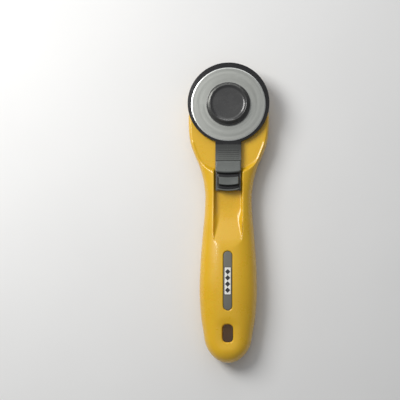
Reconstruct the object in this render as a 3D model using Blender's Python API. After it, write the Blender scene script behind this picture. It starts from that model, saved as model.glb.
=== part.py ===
"""A 45 mm rotary cutter with a sliding blade guard, modelled in metres.

The cutter lies on its back: the head points to +Y, the blade faces +Z, +X is to its right.
The origin is the middle of the bounding box on the plane that the cutter lies on.
"""

import math

import bmesh
import bpy

MM = 0.001

# ---- driving dimensions, in millimetres -------------------------------------------------

GAP = 0.3                     # clearance between pieces that touch
AXIS_Y = 64.8                 # blade axis
BLADE_R = 22.5
BLADE_HOLE_R = 4.0
BLADE_T = 0.3
BLADE_Z = 16.4                # underside of the blade
EDGE_BEVEL = 1.2              # width of the ground edge

GUARD_R = 24.8
GUARD_CENTRE = 65.8           # the disc reaches further past the blade at the front
GUARD_BOTTOM = 13.1
GUARD_TOP = 16.1
GUARD_TRAVEL = 10.0
TAIL_W = 15.0                 # guard tail and thumb slide
TAIL_LOW_W = 13.3             # their narrower lower end
TAIL_STEP_Y = 24.0            # the width changes here
TAIL_END = 12.4
TAIL_TOP = 15.2               # thin stretch of the tail, under the thumb slide
PAD_END = 11.8
PAD_HEAD = 30.2
PAD_BOTTOM = 15.5

SEAM_Z = 8.0                  # joint plane of the two shells, where the handle is widest
HEAD_PLANE = 12.8             # sunken plane that the guard slides over
HEAD_CENTRE = 57.0            # centre of the head's round end
HEAD_W = 24.6
HEAD_LEN = 23.0
TAIL_TIP = -90.6
TAIL_ROUND = 14.0             # length of the round grip end
RAMP_W = 3.4                  # slope between the sunken plane and the neck
RAMP_R = 22.5
RAMP_CENTRE = 46.9

CHANNEL_W = 17.0
CHANNEL_FLAT_END = 1.2        # the flat floor stops here and the thumb rest begins
CHANNEL_END = -22.0

HANG_Y = -72.9
HANG_W = 6.5
HANG_L = 10.6
HANG_CORNER_R = 2.5

NAME_Y0 = -59.2
NAME_Y1 = -24.4
NAME_W = 5.0
LABEL_Y0 = -50.0
LABEL_Y1 = -34.0
LABEL_W = 3.7

LEVER_TRAVEL = 5.0
LEVER_W = 12.8
LEVER_Y0 = 40.0
LEVER_Y1 = 76.4
RIVET_YS = (46.0, 54.0)
RECESS_W = 13.6
RECESS_Y0 = 33.5
RECESS_Y1 = 77.0
RECESS_DEPTH = 2.9
WINDOW_W = 11.0
WINDOW_Y0 = 37.6
LEDGE_Z = 3.9
POCKET_W = 18.0
POCKET_Y0 = 32.5
SPRING_SEAT_Y = 26.0
PLATE_Z0 = 4.2
PLATE_Z1 = 5.2
PLATE_W = 16.8
PLATE_Y0 = 38.0
PLATE_Y1 = 76.6

CORE_R = 2.3
TIP_R = 3.7
TIP_Z0 = 1.2
TIP_Z1 = 3.8
SLEEVE_R = 3.85
SLEEVE_BORE_R = 2.6
BUSH_BORE_R = 4.0
BUSH_R = 5.6
BUSH_FLANGE_R = 8.2
BUSH_Z0 = 5.5
CAP_R = 13.3
CAP_RIM_R = 11.3
CAP_DISH_R = 10.3
CAP_Z0 = 17.0
CAP_TOP = 21.0

RETAINER_W = 12.0
RETAINER_Z0 = 9.3
RETAINER_Z1 = 11.3
RETAINER_Y0 = 22.0
RETAINER_Y1 = 40.0
SLOT_W = 5.0
SLOT_Y0 = 13.0
SLOT_Y1 = 35.6
SLIDE_SCREW_YS = (25.5, 33.0)
DETENT_Y = 28.0

SHELL_SCREWS = ((-16.0, 50.0), (16.0, 50.0), (0.0, -11.0), (0.0, -63.4))
SHELL_SCREW_TOP = 10.6

# Half widths of the handle seen from the front, from the grip's end to the head.
OUTLINE = (
    (-90.6, 12.4), (-76.0, 14.2), (-62.0, 16.4), (-47.0, 17.3), (-33.0, 16.9), (-12.0, 15.4),
    (0.0, 14.4), (9.0, 14.1), (17.0, 14.9), (27.5, 17.6), (35.0, 20.8), (42.5, 23.4), (50.0, 24.4), (57.0, 24.6),
)
CROWN = ((-90.0, 17.0), (-76.0, 17.8), (-45.0, 20.0), (-10.0, 18.8), (20.0, 17.6), (45.0, 17.6), (80.0, 17.0))
BELLY = ((-90.0, 1.2), (-70.0, -0.5), (-35.0, -0.7), (0.0, 1.4), (22.0, 0.9), (38.0, -0.8), (80.0, -0.8))
# Exponent of the section's superellipse: round on the grip, boxier at the head.
SQUARENESS = ((-90.0, 2.3), (0.0, 2.3), (40.0, 2.8), (80.0, 3.0))
BACK_SQUARENESS = 3.2

YELLOW = (0.70, 0.40, 0.045)
BLACK = (0.022, 0.022, 0.024)
DARK_GREY = (0.055, 0.056, 0.055)
STEEL = (0.42, 0.43, 0.41)
SLOT_GREY = (0.16, 0.155, 0.13)
OFF_WHITE = (0.72, 0.71, 0.66)


# ---- scene and mesh helpers -------------------------------------------------------------


def clear_scene():
    for obj in list(bpy.data.objects):
        bpy.data.objects.remove(obj, do_unlink=True)


def make_material(name, colour, roughness, metallic=0.0):
    material = bpy.data.materials.new(name)
    material.use_nodes = True
    shader = material.node_tree.nodes["Principled BSDF"]
    shader.inputs["Base Color"].default_value = (*colour, 1.0)
    shader.inputs["Roughness"].default_value = roughness
    shader.inputs["Metallic"].default_value = metallic
    return material


def make_empty(name, location):
    empty = bpy.data.objects.new(name, None)
    empty.location = [value * MM for value in location]
    bpy.context.scene.collection.objects.link(empty)
    return empty


def make_object(name, bm, material=None, parent=None, sharp_deg=35.0):
    """Turn a bmesh in millimetres, in world position, into a named object on its parent."""
    bmesh.ops.recalc_face_normals(bm, faces=bm.faces)
    offset = parent.location if parent else (0.0, 0.0, 0.0)
    for vert in bm.verts:
        vert.co = [vert.co[i] * MM - offset[i] for i in range(3)]
    mesh = bpy.data.meshes.new(name)
    bm.to_mesh(mesh)
    bm.free()
    obj = bpy.data.objects.new(name, mesh)
    bpy.context.scene.collection.objects.link(obj)
    obj.parent = parent
    if material:
        mesh.materials.append(material)
    mesh.shade_smooth()
    mesh.set_sharp_from_angle(angle=math.radians(sharp_deg))
    return obj


def cut(target, cutters):
    """Subtract wire-drawn cutter objects from the target, one Boolean each."""
    for cutter in cutters:
        cutter.hide_render = True
        cutter.display_type = "WIRE"
        modifier = target.modifiers.new(cutter.name, "BOOLEAN")
        modifier.operation = "DIFFERENCE"
        modifier.object = cutter


def smooth_between(points, y):
    """Monotone cubic through (y, value) points, held flat beyond the ends."""
    if y <= points[0][0]:
        return points[0][1]
    if y >= points[-1][0]:
        return points[-1][1]
    slopes = [(b[1] - a[1]) / (b[0] - a[0]) for a, b in zip(points, points[1:])]
    tangents = [slopes[0]]
    for before, after in zip(slopes, slopes[1:]):
        same_way = before * after > 0.0
        tangents.append(2.0 * before * after / (before + after) if same_way else 0.0)
    tangents.append(0.0)
    for i, (a, b) in enumerate(zip(points, points[1:])):
        if y <= b[0]:
            span = b[0] - a[0]
            t = (y - a[0]) / span
            start = (1.0 + 2.0 * t) * (1.0 - t) ** 2 * a[1] + t * (1.0 - t) ** 2 * span * tangents[i]
            end = t * t * (3.0 - 2.0 * t) * b[1] + t * t * (t - 1.0) * span * tangents[i + 1]
            return start + end
    return points[-1][1]


def prism(outline, z0, z1):
    """Closed prism over a counter-clockwise outline of (x, y) points."""
    bm = bmesh.new()
    low = [bm.verts.new((x, y, z0)) for x, y in outline]
    high = [bm.verts.new((x, y, z1)) for x, y in outline]
    bm.faces.new(list(reversed(low)))
    bm.faces.new(high)
    for i in range(len(outline)):
        j = (i + 1) % len(outline)
        bm.faces.new((low[i], low[j], high[j], high[i]))
    return bm


def loft(sections):
    """Closed solid through rings of equal length, capped at both ends."""
    bm = bmesh.new()
    rings = [[bm.verts.new(point) for point in section] for section in sections]
    for ring, following in zip(rings, rings[1:]):
        for i in range(len(ring)):
            j = (i + 1) % len(ring)
            bm.faces.new((ring[i], ring[j], following[j], following[i]))
    bm.faces.new(list(reversed(rings[0])))
    bm.faces.new(rings[-1])
    return bm


def turned(profile, segments, centre=(0.0, 0.0)):
    """Solid of revolution about a vertical axis; the closed profile lists (radius, z)."""
    bm = bmesh.new()
    rings = []
    for radius, z in profile:
        if radius < 1e-6:
            rings.append([bm.verts.new((centre[0], centre[1], z))])
            continue
        ring = []
        for i in range(segments):
            angle = 2.0 * math.pi * i / segments
            x = centre[0] + radius * math.cos(angle)
            y = centre[1] + radius * math.sin(angle)
            ring.append(bm.verts.new((x, y, z)))
        rings.append(ring)
    for ring, following in zip(rings, rings[1:] + rings[:1]):
        if len(ring) == 1 and len(following) == 1:
            continue
        for i in range(segments):
            j = (i + 1) % segments
            corners = [ring[i % len(ring)], ring[j % len(ring)]]
            corners += [following[j % len(following)], following[i % len(following)]]
            bm.faces.new(list(dict.fromkeys(corners)))
    return bm


def add_mesh(bm, other):
    """Append another bmesh's geometry to bm as a separate shell."""
    copies = {vert: bm.verts.new(vert.co) for vert in other.verts}
    for face in other.faces:
        bm.faces.new([copies[vert] for vert in face.verts])
    other.free()


def rounded_slot(half_width, y0, y1, steps=8, x=0.0):
    """Outline of a slot along Y with half-round ends."""
    points = []
    for i in range(steps + 1):
        angle = math.pi * i / steps
        points.append((x + half_width * math.cos(angle), y1 - half_width + half_width * math.sin(angle)))
    for i in range(steps + 1):
        angle = math.pi + math.pi * i / steps
        points.append((x + half_width * math.cos(angle), y0 + half_width + half_width * math.sin(angle)))
    return points


def rounded_rectangle(x0, x1, y0, y1, radius, steps=5):
    points = []
    corners = ((x1, y1, 0.0), (x0, y1, 90.0), (x0, y0, 180.0), (x1, y0, 270.0))
    for x, y, start in corners:
        centre_x = x - math.copysign(radius, x - 0.5 * (x0 + x1))
        centre_y = y - math.copysign(radius, y - 0.5 * (y0 + y1))
        for i in range(steps + 1):
            angle = math.radians(start + 90.0 * i / steps)
            points.append((centre_x + radius * math.cos(angle), centre_y + radius * math.sin(angle)))
    return points


def arched_outline(half, y0, y1, steps):
    """Square low end at y0 and a half-round high end at y1."""
    points = [(-half, y0), (half, y0)]
    for i in range(steps + 1):
        angle = math.pi * i / steps
        points.append((half * math.cos(angle), y1 - half + half * math.sin(angle)))
    return points


def hang_hole_outline():
    half_w = 0.5 * HANG_W
    half_l = 0.5 * HANG_L
    return rounded_rectangle(-half_w, half_w, HANG_Y - half_l, HANG_Y + half_l, HANG_CORNER_R)


def rectangle(x0, x1, y0, y1):
    return [(x0, y0), (x1, y0), (x1, y1), (x0, y1)]


def circle(radius, x, y, segments):
    steps = [2.0 * math.pi * i / segments for i in range(segments)]
    return [(x + radius * math.cos(a), y + radius * math.sin(a)) for a in steps]


# ---- the handle's outer surface ---------------------------------------------------------


def half_width(y):
    """Half width of the handle at its joint plane."""
    if y > HEAD_CENTRE:
        t = min((y - HEAD_CENTRE) / HEAD_LEN, 1.0)
        return HEAD_W * math.sqrt(1.0 - t * t)
    width = smooth_between(OUTLINE, y)
    start = TAIL_TIP + TAIL_ROUND
    if y < start:
        t = min((start - y) / TAIL_ROUND, 1.0)
        width *= math.sqrt(1.0 - t * t)
    return width


def end_height(y):
    """Share of the full height that is left near the two round ends of the handle."""
    near = 1.0
    grip_soft = 9.0
    head_soft = 3.0
    if y < TAIL_TIP + grip_soft:
        t = (TAIL_TIP + grip_soft - y) / grip_soft
        near = (1.0 - min(t, 1.0) ** 2.2) ** (1.0 / 2.2)
    head_tip = HEAD_CENTRE + HEAD_LEN
    if y > head_tip - head_soft:
        t = (y - head_tip + head_soft) / head_soft
        near = (1.0 - min(t, 1.0) ** 2.4) ** (1.0 / 2.4)
    return near


def front_z(x, y):
    """Height of the uncut front surface."""
    power = smooth_between(SQUARENESS, y)
    rise = (smooth_between(CROWN, y) - SEAM_Z) * end_height(y)
    t = min(abs(x) / max(half_width(y), 0.01), 1.0)
    return SEAM_Z + rise * (1.0 - t**power) ** (1.0 / power)


def handle_stations():
    """Places along Y for the sections, closer together at the two round ends."""
    stations = []
    grip_steps = 7
    for i in range(grip_steps + 1):
        angle = 0.5 * math.pi * max(i, 0.3) / grip_steps
        stations.append(TAIL_TIP + TAIL_ROUND * (1.0 - math.cos(angle)))
    y = stations[-1] + 5.0
    while y < HEAD_CENTRE - 1.0:
        stations.append(y)
        y += 5.2
    head_steps = 8
    for i in range(head_steps):
        stations.append(HEAD_CENTRE + HEAD_LEN * math.sin(0.5 * math.pi * (i + 0.05) / head_steps))
    return stations


def half_section(y, side, steps=14):
    """Ring of one shell half at y: the curved skin and the flat joint face."""
    power = smooth_between(SQUARENESS, y) if side > 0 else BACK_SQUARENESS
    level = smooth_between(CROWN, y) if side > 0 else smooth_between(BELLY, y)
    reach = abs(level - SEAM_Z) * end_height(y)
    width = half_width(y)
    joint = SEAM_Z + side * 0.5 * GAP
    ring = []
    for i in range(steps + 1):
        angle = math.pi * i / steps
        c = math.cos(angle)
        s = math.sin(angle)
        x = width * math.copysign(abs(c) ** (2.0 / power), c)
        z = SEAM_Z + side * max(reach * abs(s) ** (2.0 / power), 0.0)
        z = max(z, joint) if side > 0 else min(z, joint)
        ring.append((x, y, max(z, 0.0)))
    return ring


def half_shell(side):
    return loft([half_section(y, side) for y in handle_stations()])


# ---- cutters ----------------------------------------------------------------------------


def head_plane_cutter():
    """Sinks the head's front to the plane that the guard slides over, with a sloped edge."""
    def edge(extra, steps=18):
        radius = RAMP_R + extra
        start = math.radians(194.0)
        sweep = math.radians(152.0)
        points = []
        for i in range(steps + 1):
            angle = start + sweep * i / steps
            points.append((radius * math.cos(angle), RAMP_CENTRE + radius * math.sin(angle)))
        flare = 32.0 + extra
        left = (-flare, RAMP_CENTRE - 3.0 - 0.4 * extra)
        right = (flare, RAMP_CENTRE - 3.0 - 0.4 * extra)
        return [left] + points + [right, (flare, 100.0), (-flare, 100.0)]

    slope_top = 19.0
    low = [(x, y, HEAD_PLANE) for x, y in edge(0.0)]
    high = [(x, y, slope_top) for x, y in edge(RAMP_W)]
    return make_object("head_plane_cutter", loft([low, high]))


def channel_floor(x, y):
    """Height of the channel floor: level, then a thumb rest that eases out into the front."""
    if y >= CHANNEL_FLAT_END:
        return HEAD_PLANE
    t = min((CHANNEL_FLAT_END - y) / (CHANNEL_FLAT_END - CHANNEL_END), 1.0)
    ease = t * t * (3.0 - 2.0 * t)
    share = 0.35 * t + 0.65 * ease
    return HEAD_PLANE + (front_z(x, y) - HEAD_PLANE) * share


def channel_cutter():
    """Thumb channel, level under the guard's tail and running out as a thumb rest."""
    half = 0.5 * CHANNEL_W
    across = 6
    steps = 9
    high = 12.0
    length = CHANNEL_FLAT_END - CHANNEL_END
    ys = [60.0] + [CHANNEL_FLAT_END - length * i / steps for i in range(steps)]
    ys.append(CHANNEL_END - 0.8)
    sections = []
    for y in ys:
        lift = 0.25 if y < CHANNEL_END else 0.0
        xs = [half * (2.0 * i / across - 1.0) for i in range(across + 1)]
        floor = [(x, y, channel_floor(x, y) + lift) for x in xs]
        roof = [(half, y, HEAD_PLANE + high), (-half, y, HEAD_PLANE + high)]
        sections.append(floor + roof)
    return make_object("channel_cutter", loft(sections))


def skin_strip(y0, y1, half, corner, above, below, steps=8, across=4):
    """Strip with round corners whose faces follow the grip's front at two offsets from it."""
    ys = []
    for i in range(steps + 1):
        ys.append(y0 + corner * (1.0 - math.cos(0.5 * math.pi * i / steps)))
    middle = 7
    for i in range(1, middle):
        ys.append(y0 + corner + (y1 - y0 - 2.0 * corner) * i / middle)
    for i in range(steps + 1):
        ys.append(y1 - corner + corner * math.sin(0.5 * math.pi * i / steps))
    sections = []
    for y in ys:
        into_end = max(y0 + corner - y, y - (y1 - corner), 0.0)
        width = max(half - corner + math.sqrt(max(corner * corner - into_end * into_end, 0.0)), 0.12)
        xs = [width * (2.0 * i / across - 1.0) for i in range(across + 1)]
        top = [(x, y, front_z(x, y) + above) for x in xs]
        bottom = [(x, y, front_z(x, y) + below) for x in reversed(xs)]
        sections.append(top + bottom)
    return loft(sections)


def grip_pockets(z0, roof, name):
    """Two rows of ribbed hollows inside the grip, cut from the joint plane."""
    bm = bmesh.new()
    rows = ((-57.5, -47.5), (-45.9, -35.9), (-34.3, -25.4))
    for low, high in rows:
        for x0, x1 in ((-10.4, -1.6), (1.6, 10.4)):
            z1 = roof(max(abs(x0), abs(x1)), 0.5 * (low + high))
            add_mesh(bm, prism(rectangle(x0, x1, low, high), min(z0, z1), max(z0, z1)))
    return make_object(name, bm)


def round_cutter(name, radius, x, y, z0, z1, segments=16):
    return make_object(name, prism(circle(radius, x, y, segments), z0, z1))


# ---- handle pieces ----------------------------------------------------------------------


def build_front_shell(material):
    shell = make_object("front_shell", half_shell(1), material)
    cutters = [head_plane_cutter(), channel_cutter()]
    half = 0.5 * NAME_W + GAP
    name_slot = skin_strip(NAME_Y0 - GAP, NAME_Y1 + GAP, half, half, 4.0, -1.5)
    cutters.append(make_object("name_cutter", name_slot))
    cutters.append(make_object("hang_cutter_front", prism(hang_hole_outline(), 0.0, 30.0)))
    cutters.append(grip_pockets(5.0, lambda x, y: front_z(x, y) - 2.4, "grip_pockets_front"))
    below = SEAM_Z - 3.0
    pocket = rectangle(-6.4, 7.8, 11.4, 40.6)
    cutters.append(make_object("retainer_pocket", prism(pocket, below, RETAINER_Z1 + GAP)))
    slot = rounded_slot(0.5 * SLOT_W, SLOT_Y0, SLOT_Y1, 6)
    cutters.append(make_object("floor_slot", prism(slot, below, 30.0)))
    cutters.append(round_cutter("bush_bore", BUSH_R + GAP, 0.0, AXIS_Y, below, 30.0, 28))
    for i, (x, y) in enumerate(SHELL_SCREWS, 1):
        cutters.append(round_cutter(f"screw_hole_front_{i}", 1.5, x, y, below, SHELL_SCREW_TOP + 0.4, 12))
    cut(shell, cutters)
    return shell


def build_rear_shell(material):
    shell = make_object("rear_shell", half_shell(-1), material)
    above = SEAM_Z + 3.0
    cutters = []
    cutters.append(make_object("hang_cutter_rear", prism(hang_hole_outline(), -5.0, 12.0)))
    cutters.append(grip_pockets(above, lambda x, y: 2.6, "grip_pockets_rear"))
    recess = rounded_slot(0.5 * RECESS_W, RECESS_Y0, RECESS_Y1)
    cutters.append(make_object("lever_recess", prism(recess, -2.0, RECESS_DEPTH)))
    window = rounded_slot(0.5 * WINDOW_W, WINDOW_Y0, RECESS_Y1)
    cutters.append(make_object("lever_window", prism(window, -2.0, above)))
    pocket = arched_outline(0.5 * POCKET_W, POCKET_Y0, RECESS_Y1 + 0.2, 12)
    cutters.append(make_object("plate_pocket", prism(pocket, LEDGE_Z, above)))
    seat = rectangle(-2.3, 2.3, SPRING_SEAT_Y, POCKET_Y0 + 1.0)
    cutters.append(make_object("spring_seat", prism(seat, LEDGE_Z, above)))
    for i, (x, y) in enumerate(SHELL_SCREWS, 1):
        cutters.append(round_cutter(f"screw_hole_rear_{i}", 1.5, x, y, 0.5, above, 12))
        cutters.append(round_cutter(f"screw_head_rear_{i}", 2.9, x, y, -2.0, 2.8, 16))
    cut(shell, cutters)
    return shell


def build_name_inlay(material):
    half = 0.5 * NAME_W
    inlay = make_object("name_inlay", skin_strip(NAME_Y0, NAME_Y1, half, half, -0.35, -1.2), material)
    half = 0.5 * LABEL_W + GAP
    seat = skin_strip(LABEL_Y0 - GAP, LABEL_Y1 + GAP, half, 0.5, 3.0, -0.75, 4)
    cut(inlay, [make_object("label_seat", seat)])
    return inlay


def build_label_plate(material):
    plate = skin_strip(LABEL_Y0, LABEL_Y1, 0.5 * LABEL_W, 0.3, -0.15, -0.6, 4)
    return make_object("label_plate", plate, material)


def build_shaft_bush(material):
    top = HEAD_PLANE - GAP
    profile = [
        (BUSH_BORE_R, BUSH_Z0), (BUSH_BORE_R, top), (BUSH_R, top),
        (BUSH_R, BUSH_Z0 + 1.0), (BUSH_FLANGE_R, BUSH_Z0 + 1.0), (BUSH_FLANGE_R, BUSH_Z0),
    ]
    return make_object("shaft_bush", turned(profile, 36, (0.0, AXIS_Y)), material)


def build_shell_screw(index, x, y, material):
    """Self-tapping screw whose head sits in the back's counterbore."""
    head = 2.4
    head_low = 1.0
    profile = [
        (0.0, head_low + 0.8), (0.7, head_low + 0.5), (0.9, head_low), (2.1, head_low),
        (2.5, head_low + 0.4), (2.5, head), (1.2, head), (1.2, SHELL_SCREW_TOP - 1.4),
        (0.0, SHELL_SCREW_TOP),
    ]
    return make_object(f"shell_screw_{index}", turned(profile, 14, (x, y)), material)


def build_detent_spring(material):
    """Leaf spring beside the retainer, with a rounded bump towards its notches."""
    x_leaf = 7.0
    thickness = 0.35
    bump = 0.75
    ys = [11.9, 14.0, DETENT_Y - 4.0, DETENT_Y - 2.0, DETENT_Y - 1.0, DETENT_Y]
    ys += [DETENT_Y + 1.0, DETENT_Y + 2.0, DETENT_Y + 4.0, 38.2, 40.2]
    sections = []
    for y in ys:
        lean = bump * math.exp(-(((y - DETENT_Y) / 1.3) ** 2))
        x0 = x_leaf - lean
        x1 = x0 + thickness
        sections.append([(x0, y, 9.2), (x1, y, 9.2), (x1, y, 11.2), (x0, y, 11.2)])
    return make_object("guard_detent_spring", loft(sections), material)


def build_lever_spring(material):
    """Compression spring between the rear shell and the lock plate's tab."""
    turns = 6.0
    coil_r = 1.5
    wire_r = 0.25
    axis_z = 5.85
    y0 = SPRING_SEAT_Y + GAP + wire_r
    y1 = PLATE_Y0 - GAP - wire_r
    per_turn = 12
    sides = 6
    rings = []
    count = int(turns * per_turn)
    for i in range(count + 1):
        angle = 2.0 * math.pi * turns * i / count
        y = y0 + (y1 - y0) * i / count
        ring = []
        for k in range(sides):
            around = 2.0 * math.pi * k / sides
            radius = coil_r + wire_r * math.cos(around)
            along = y + wire_r * math.sin(around)
            ring.append((radius * math.cos(angle), along, axis_z + radius * math.sin(angle)))
        rings.append(ring)
    return make_object("lever_spring", loft(rings), material, None, 80.0)


# ---- guard pieces -----------------------------------------------------------------------


def build_blade_guard(material, parent):
    """Disc with a long slot round the pin, and the tail that runs in the channel."""
    half = 0.5 * TAIL_W
    join = math.asin(half / GUARD_R)
    steps = 64
    outline = []
    for i in range(steps + 1):
        angle = -0.5 * math.pi + join + (2.0 * math.pi - 2.0 * join) * i / steps
        outline.append((GUARD_R * math.cos(angle), GUARD_CENTRE + GUARD_R * math.sin(angle)))
    outline += [(-half, PAD_HEAD + GAP), (half, PAD_HEAD + GAP)]
    guard = make_object("blade_guard", prism(outline, GUARD_BOTTOM, GUARD_TOP), material, parent)
    bevel = guard.modifiers.new("rounded_rim", "BEVEL")
    bevel.width = 0.0005
    bevel.segments = 2
    bevel.limit_method = "ANGLE"
    bevel.angle_limit = math.radians(60.0)
    low = 0.5 * TAIL_LOW_W
    tail_right = [(low, TAIL_END), (low, TAIL_STEP_Y - 0.5), (half, TAIL_STEP_Y + 0.5), (half, PAD_HEAD + 3.0)]
    tail_left = [(-x, y) for x, y in reversed(tail_right)]
    tail = prism(tail_left + tail_right, GUARD_BOTTOM, TAIL_TOP)
    tail_object = make_object("tail_guide", tail, None, parent)
    tail_object.hide_render = True
    tail_object.display_type = "WIRE"
    union = guard.modifiers.new("tail", "BOOLEAN")
    union.operation = "UNION"
    union.object = tail_object
    slot = rounded_slot(4.5, AXIS_Y - 4.5, AXIS_Y + GUARD_TRAVEL + 4.9)
    cutters = [make_object("pin_slot", prism(slot, 10.0, 20.0), None, parent)]
    for i, y in enumerate(SLIDE_SCREW_YS, 1):
        top = TAIL_TOP + 3.0 if y < PAD_HEAD else GUARD_TOP - 0.5
        hole = prism(circle(1.25, 0.0, y, 12), 10.0, top)
        cutters.append(make_object(f"tail_hole_{i}", hole, None, parent))
    cut(guard, cutters)
    return guard


PAD_PROFILE = (
    (PAD_HEAD, PAD_BOTTOM), (PAD_HEAD, 16.3), (29.5, 16.7), (28.4, 16.8), (26.4, 17.5), (24.6, 18.3),
    (24.0, 18.2), (23.6, 17.3), (22.4, 17.0), (21.7, 17.3), (21.2, 18.5), (20.6, 18.9),
    (18.6, 18.75), (16.6, 18.9), (16.0, 18.5), (15.6, 17.7), (14.9, 17.7), (14.4, 18.4),
    (13.4, 18.5), (12.5, 17.9), (11.9, 16.6), (PAD_END, PAD_BOTTOM),
)


def build_thumb_slide(material, parent):
    """Stepped thumb pad: a long ramp, a raised block and a lip, on the guard's tail."""
    half = 0.5 * TAIL_W
    across = (-half, -half + 0.6, -half + 1.3, half - 1.3, half - 0.6, half)
    drops = (0.9, 0.25, 0.0, 0.0, 0.25, 0.9)
    sections = []
    for x, drop in zip(across, drops):
        curve = 1.6 * (x / half) ** 2
        ring = []
        for y, z in PAD_PROFILE:
            share = max(0.0, min(1.0, (PAD_HEAD - y) / (PAD_HEAD - TAIL_STEP_Y)))
            narrow = TAIL_LOW_W / TAIL_W if y < TAIL_STEP_Y else 1.0
            ring.append((x * narrow, y + curve * share, max(z - drop, PAD_BOTTOM)))
        sections.append(ring)
    pad = make_object("thumb_slide", loft(sections), material, parent)
    y = SLIDE_SCREW_YS[0]
    hole = make_object("pad_hole", prism(circle(1.25, 0.0, y, 12), 12.0, 16.9), None, parent)
    cut(pad, [hole])
    return pad


def build_slide_retainer(material, parent):
    """Plate under the channel floor, with two bosses that stand in the floor slot."""
    half = 0.5 * RETAINER_W
    right = []
    notch = 0.5
    for centre in (DETENT_Y, DETENT_Y + GUARD_TRAVEL):
        for dy, depth in ((-1.5, 0.0), (-0.6, notch), (0.6, notch), (1.5, 0.0)):
            right.append((half - depth, centre + dy))
    outline = [(-half, RETAINER_Y0), (half, RETAINER_Y0)] + right
    outline += [(half, RETAINER_Y1), (-half, RETAINER_Y1)]
    plate = make_object("slide_retainer", prism(outline, RETAINER_Z0, RETAINER_Z1), material, parent)
    low, high = SLIDE_SCREW_YS
    boss = rounded_slot(2.1, low - 2.1, high + 2.1, 6)
    boss_mesh = prism(boss, RETAINER_Z1 - 1.0, GUARD_BOTTOM - GAP)
    boss_object = make_object("boss_guide", boss_mesh, None, parent)
    boss_object.hide_render = True
    boss_object.display_type = "WIRE"
    union = plate.modifiers.new("boss", "BOOLEAN")
    union.operation = "UNION"
    union.object = boss_object
    cutters = []
    for i, y in enumerate(SLIDE_SCREW_YS, 1):
        through = prism(circle(1.25, 0.0, y, 12), 5.0, 20.0)
        cutters.append(make_object(f"retainer_hole_{i}", through, None, parent))
        seat = prism(circle(2.2, 0.0, y, 12), 5.0, RETAINER_Z0 + 0.6)
        cutters.append(make_object(f"retainer_seat_{i}", seat, None, parent))
    cut(plate, cutters)
    return plate


def build_retainer_screw(index, y, material, parent):
    top = 16.6 if y < PAD_HEAD else GUARD_TOP - 0.8
    head = RETAINER_Z0 + 0.3
    profile = [(0.0, 8.5), (1.6, 8.5), (1.9, 8.8), (1.9, head), (0.95, head), (0.95, top - 0.6), (0.0, top)]
    screw = turned(profile, 12, (0.0, y))
    return make_object(f"retainer_screw_{index}", screw, material, parent)


# ---- release lever pieces ---------------------------------------------------------------


def build_release_lever(material, parent):
    """Slider on the back: ribbed finger pad, an opening round the pin, two short bosses."""
    half = 0.5 * LEVER_W
    outline = rounded_slot(half, LEVER_Y0, LEVER_Y1, 10)
    top = RECESS_DEPTH - GAP
    lever = make_object("release_lever", prism(outline, 0.3, top), material, parent)
    cutters = []
    opening = rounded_slot(4.2, AXIS_Y - 4.2, AXIS_Y + LEVER_TRAVEL + 4.2)
    cutters.append(make_object("lever_opening", prism(opening, -2.0, 8.0), None, parent))
    grooves = bmesh.new()
    for i in range(5):
        y = 43.6 + 2.3 * i
        add_mesh(grooves, prism(rectangle(-4.6, 4.6, y, y + 1.2), -1.0, 0.9))
    cutters.append(make_object("lever_grooves", grooves, None, parent))
    bosses = bmesh.new()
    for y in RIVET_YS:
        add_mesh(bosses, prism(circle(2.6, 0.0, y, 16), top - 0.8, PLATE_Z0 - GAP))
    boss_object = make_object("lever_boss_guide", bosses, None, parent)
    boss_object.hide_render = True
    boss_object.display_type = "WIRE"
    union = lever.modifiers.new("bosses", "BOOLEAN")
    union.operation = "UNION"
    union.object = boss_object
    for i, y in enumerate(RIVET_YS, 1):
        hole = prism(circle(1.2, 0.0, y, 12), 1.5, 8.0)
        cutters.append(make_object(f"lever_hole_{i}", hole, None, parent))
    cut(lever, cutters)
    return lever


def build_lock_plate(material, parent):
    """Steel plate whose keyhole grips the pin's waist; its bent tab takes the spring."""
    shoulder = PLATE_Y0 + 1.0
    outline = [(-3.2, shoulder), (-3.2, PLATE_Y0), (3.2, PLATE_Y0), (3.2, shoulder)]
    outline += arched_outline(0.5 * PLATE_W, shoulder, PLATE_Y1, 12)[1:]
    outline.append((-0.5 * PLATE_W, shoulder))
    plate = make_object("lock_plate", prism(outline, PLATE_Z0, PLATE_Z1), material, parent)
    tab = prism(rectangle(-3.0, 3.0, PLATE_Y0, PLATE_Y0 + 1.0), PLATE_Z1 - 0.5, PLATE_Z1 + 2.2)
    tab_object = make_object("tab_guide", tab, None, parent)
    tab_object.hide_render = True
    tab_object.display_type = "WIRE"
    union = plate.modifiers.new("tab", "BOOLEAN")
    union.operation = "UNION"
    union.object = tab_object
    narrow = rounded_slot(CORE_R + 0.25, AXIS_Y - CORE_R - 0.25, AXIS_Y + LEVER_TRAVEL, 8)
    wide = circle(SLEEVE_R + 0.25, 0.0, AXIS_Y + LEVER_TRAVEL, 24)
    cutters = [
        make_object("keyhole_narrow", prism(narrow, 2.0, 8.0), None, parent),
        make_object("keyhole_wide", prism(wide, 2.0, 8.0), None, parent),
    ]
    for i, y in enumerate(RIVET_YS, 1):
        cutters.append(make_object(f"plate_hole_{i}", prism(circle(1.2, 0.0, y, 12), 2.0, 8.0), None, parent))
    cut(plate, cutters)
    return plate


def build_lever_rivet(index, y, material, parent):
    top = PLATE_Z1 + GAP
    profile = [(0.0, 1.8), (0.9, 1.8), (0.9, top), (2.0, top), (2.0, top + 0.4), (1.3, top + 1.0), (0.0, top + 1.1)]
    return make_object(f"lever_rivet_{index}", turned(profile, 14, (0.0, y)), material, parent)


# ---- blade and pin ----------------------------------------------------------------------


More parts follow.
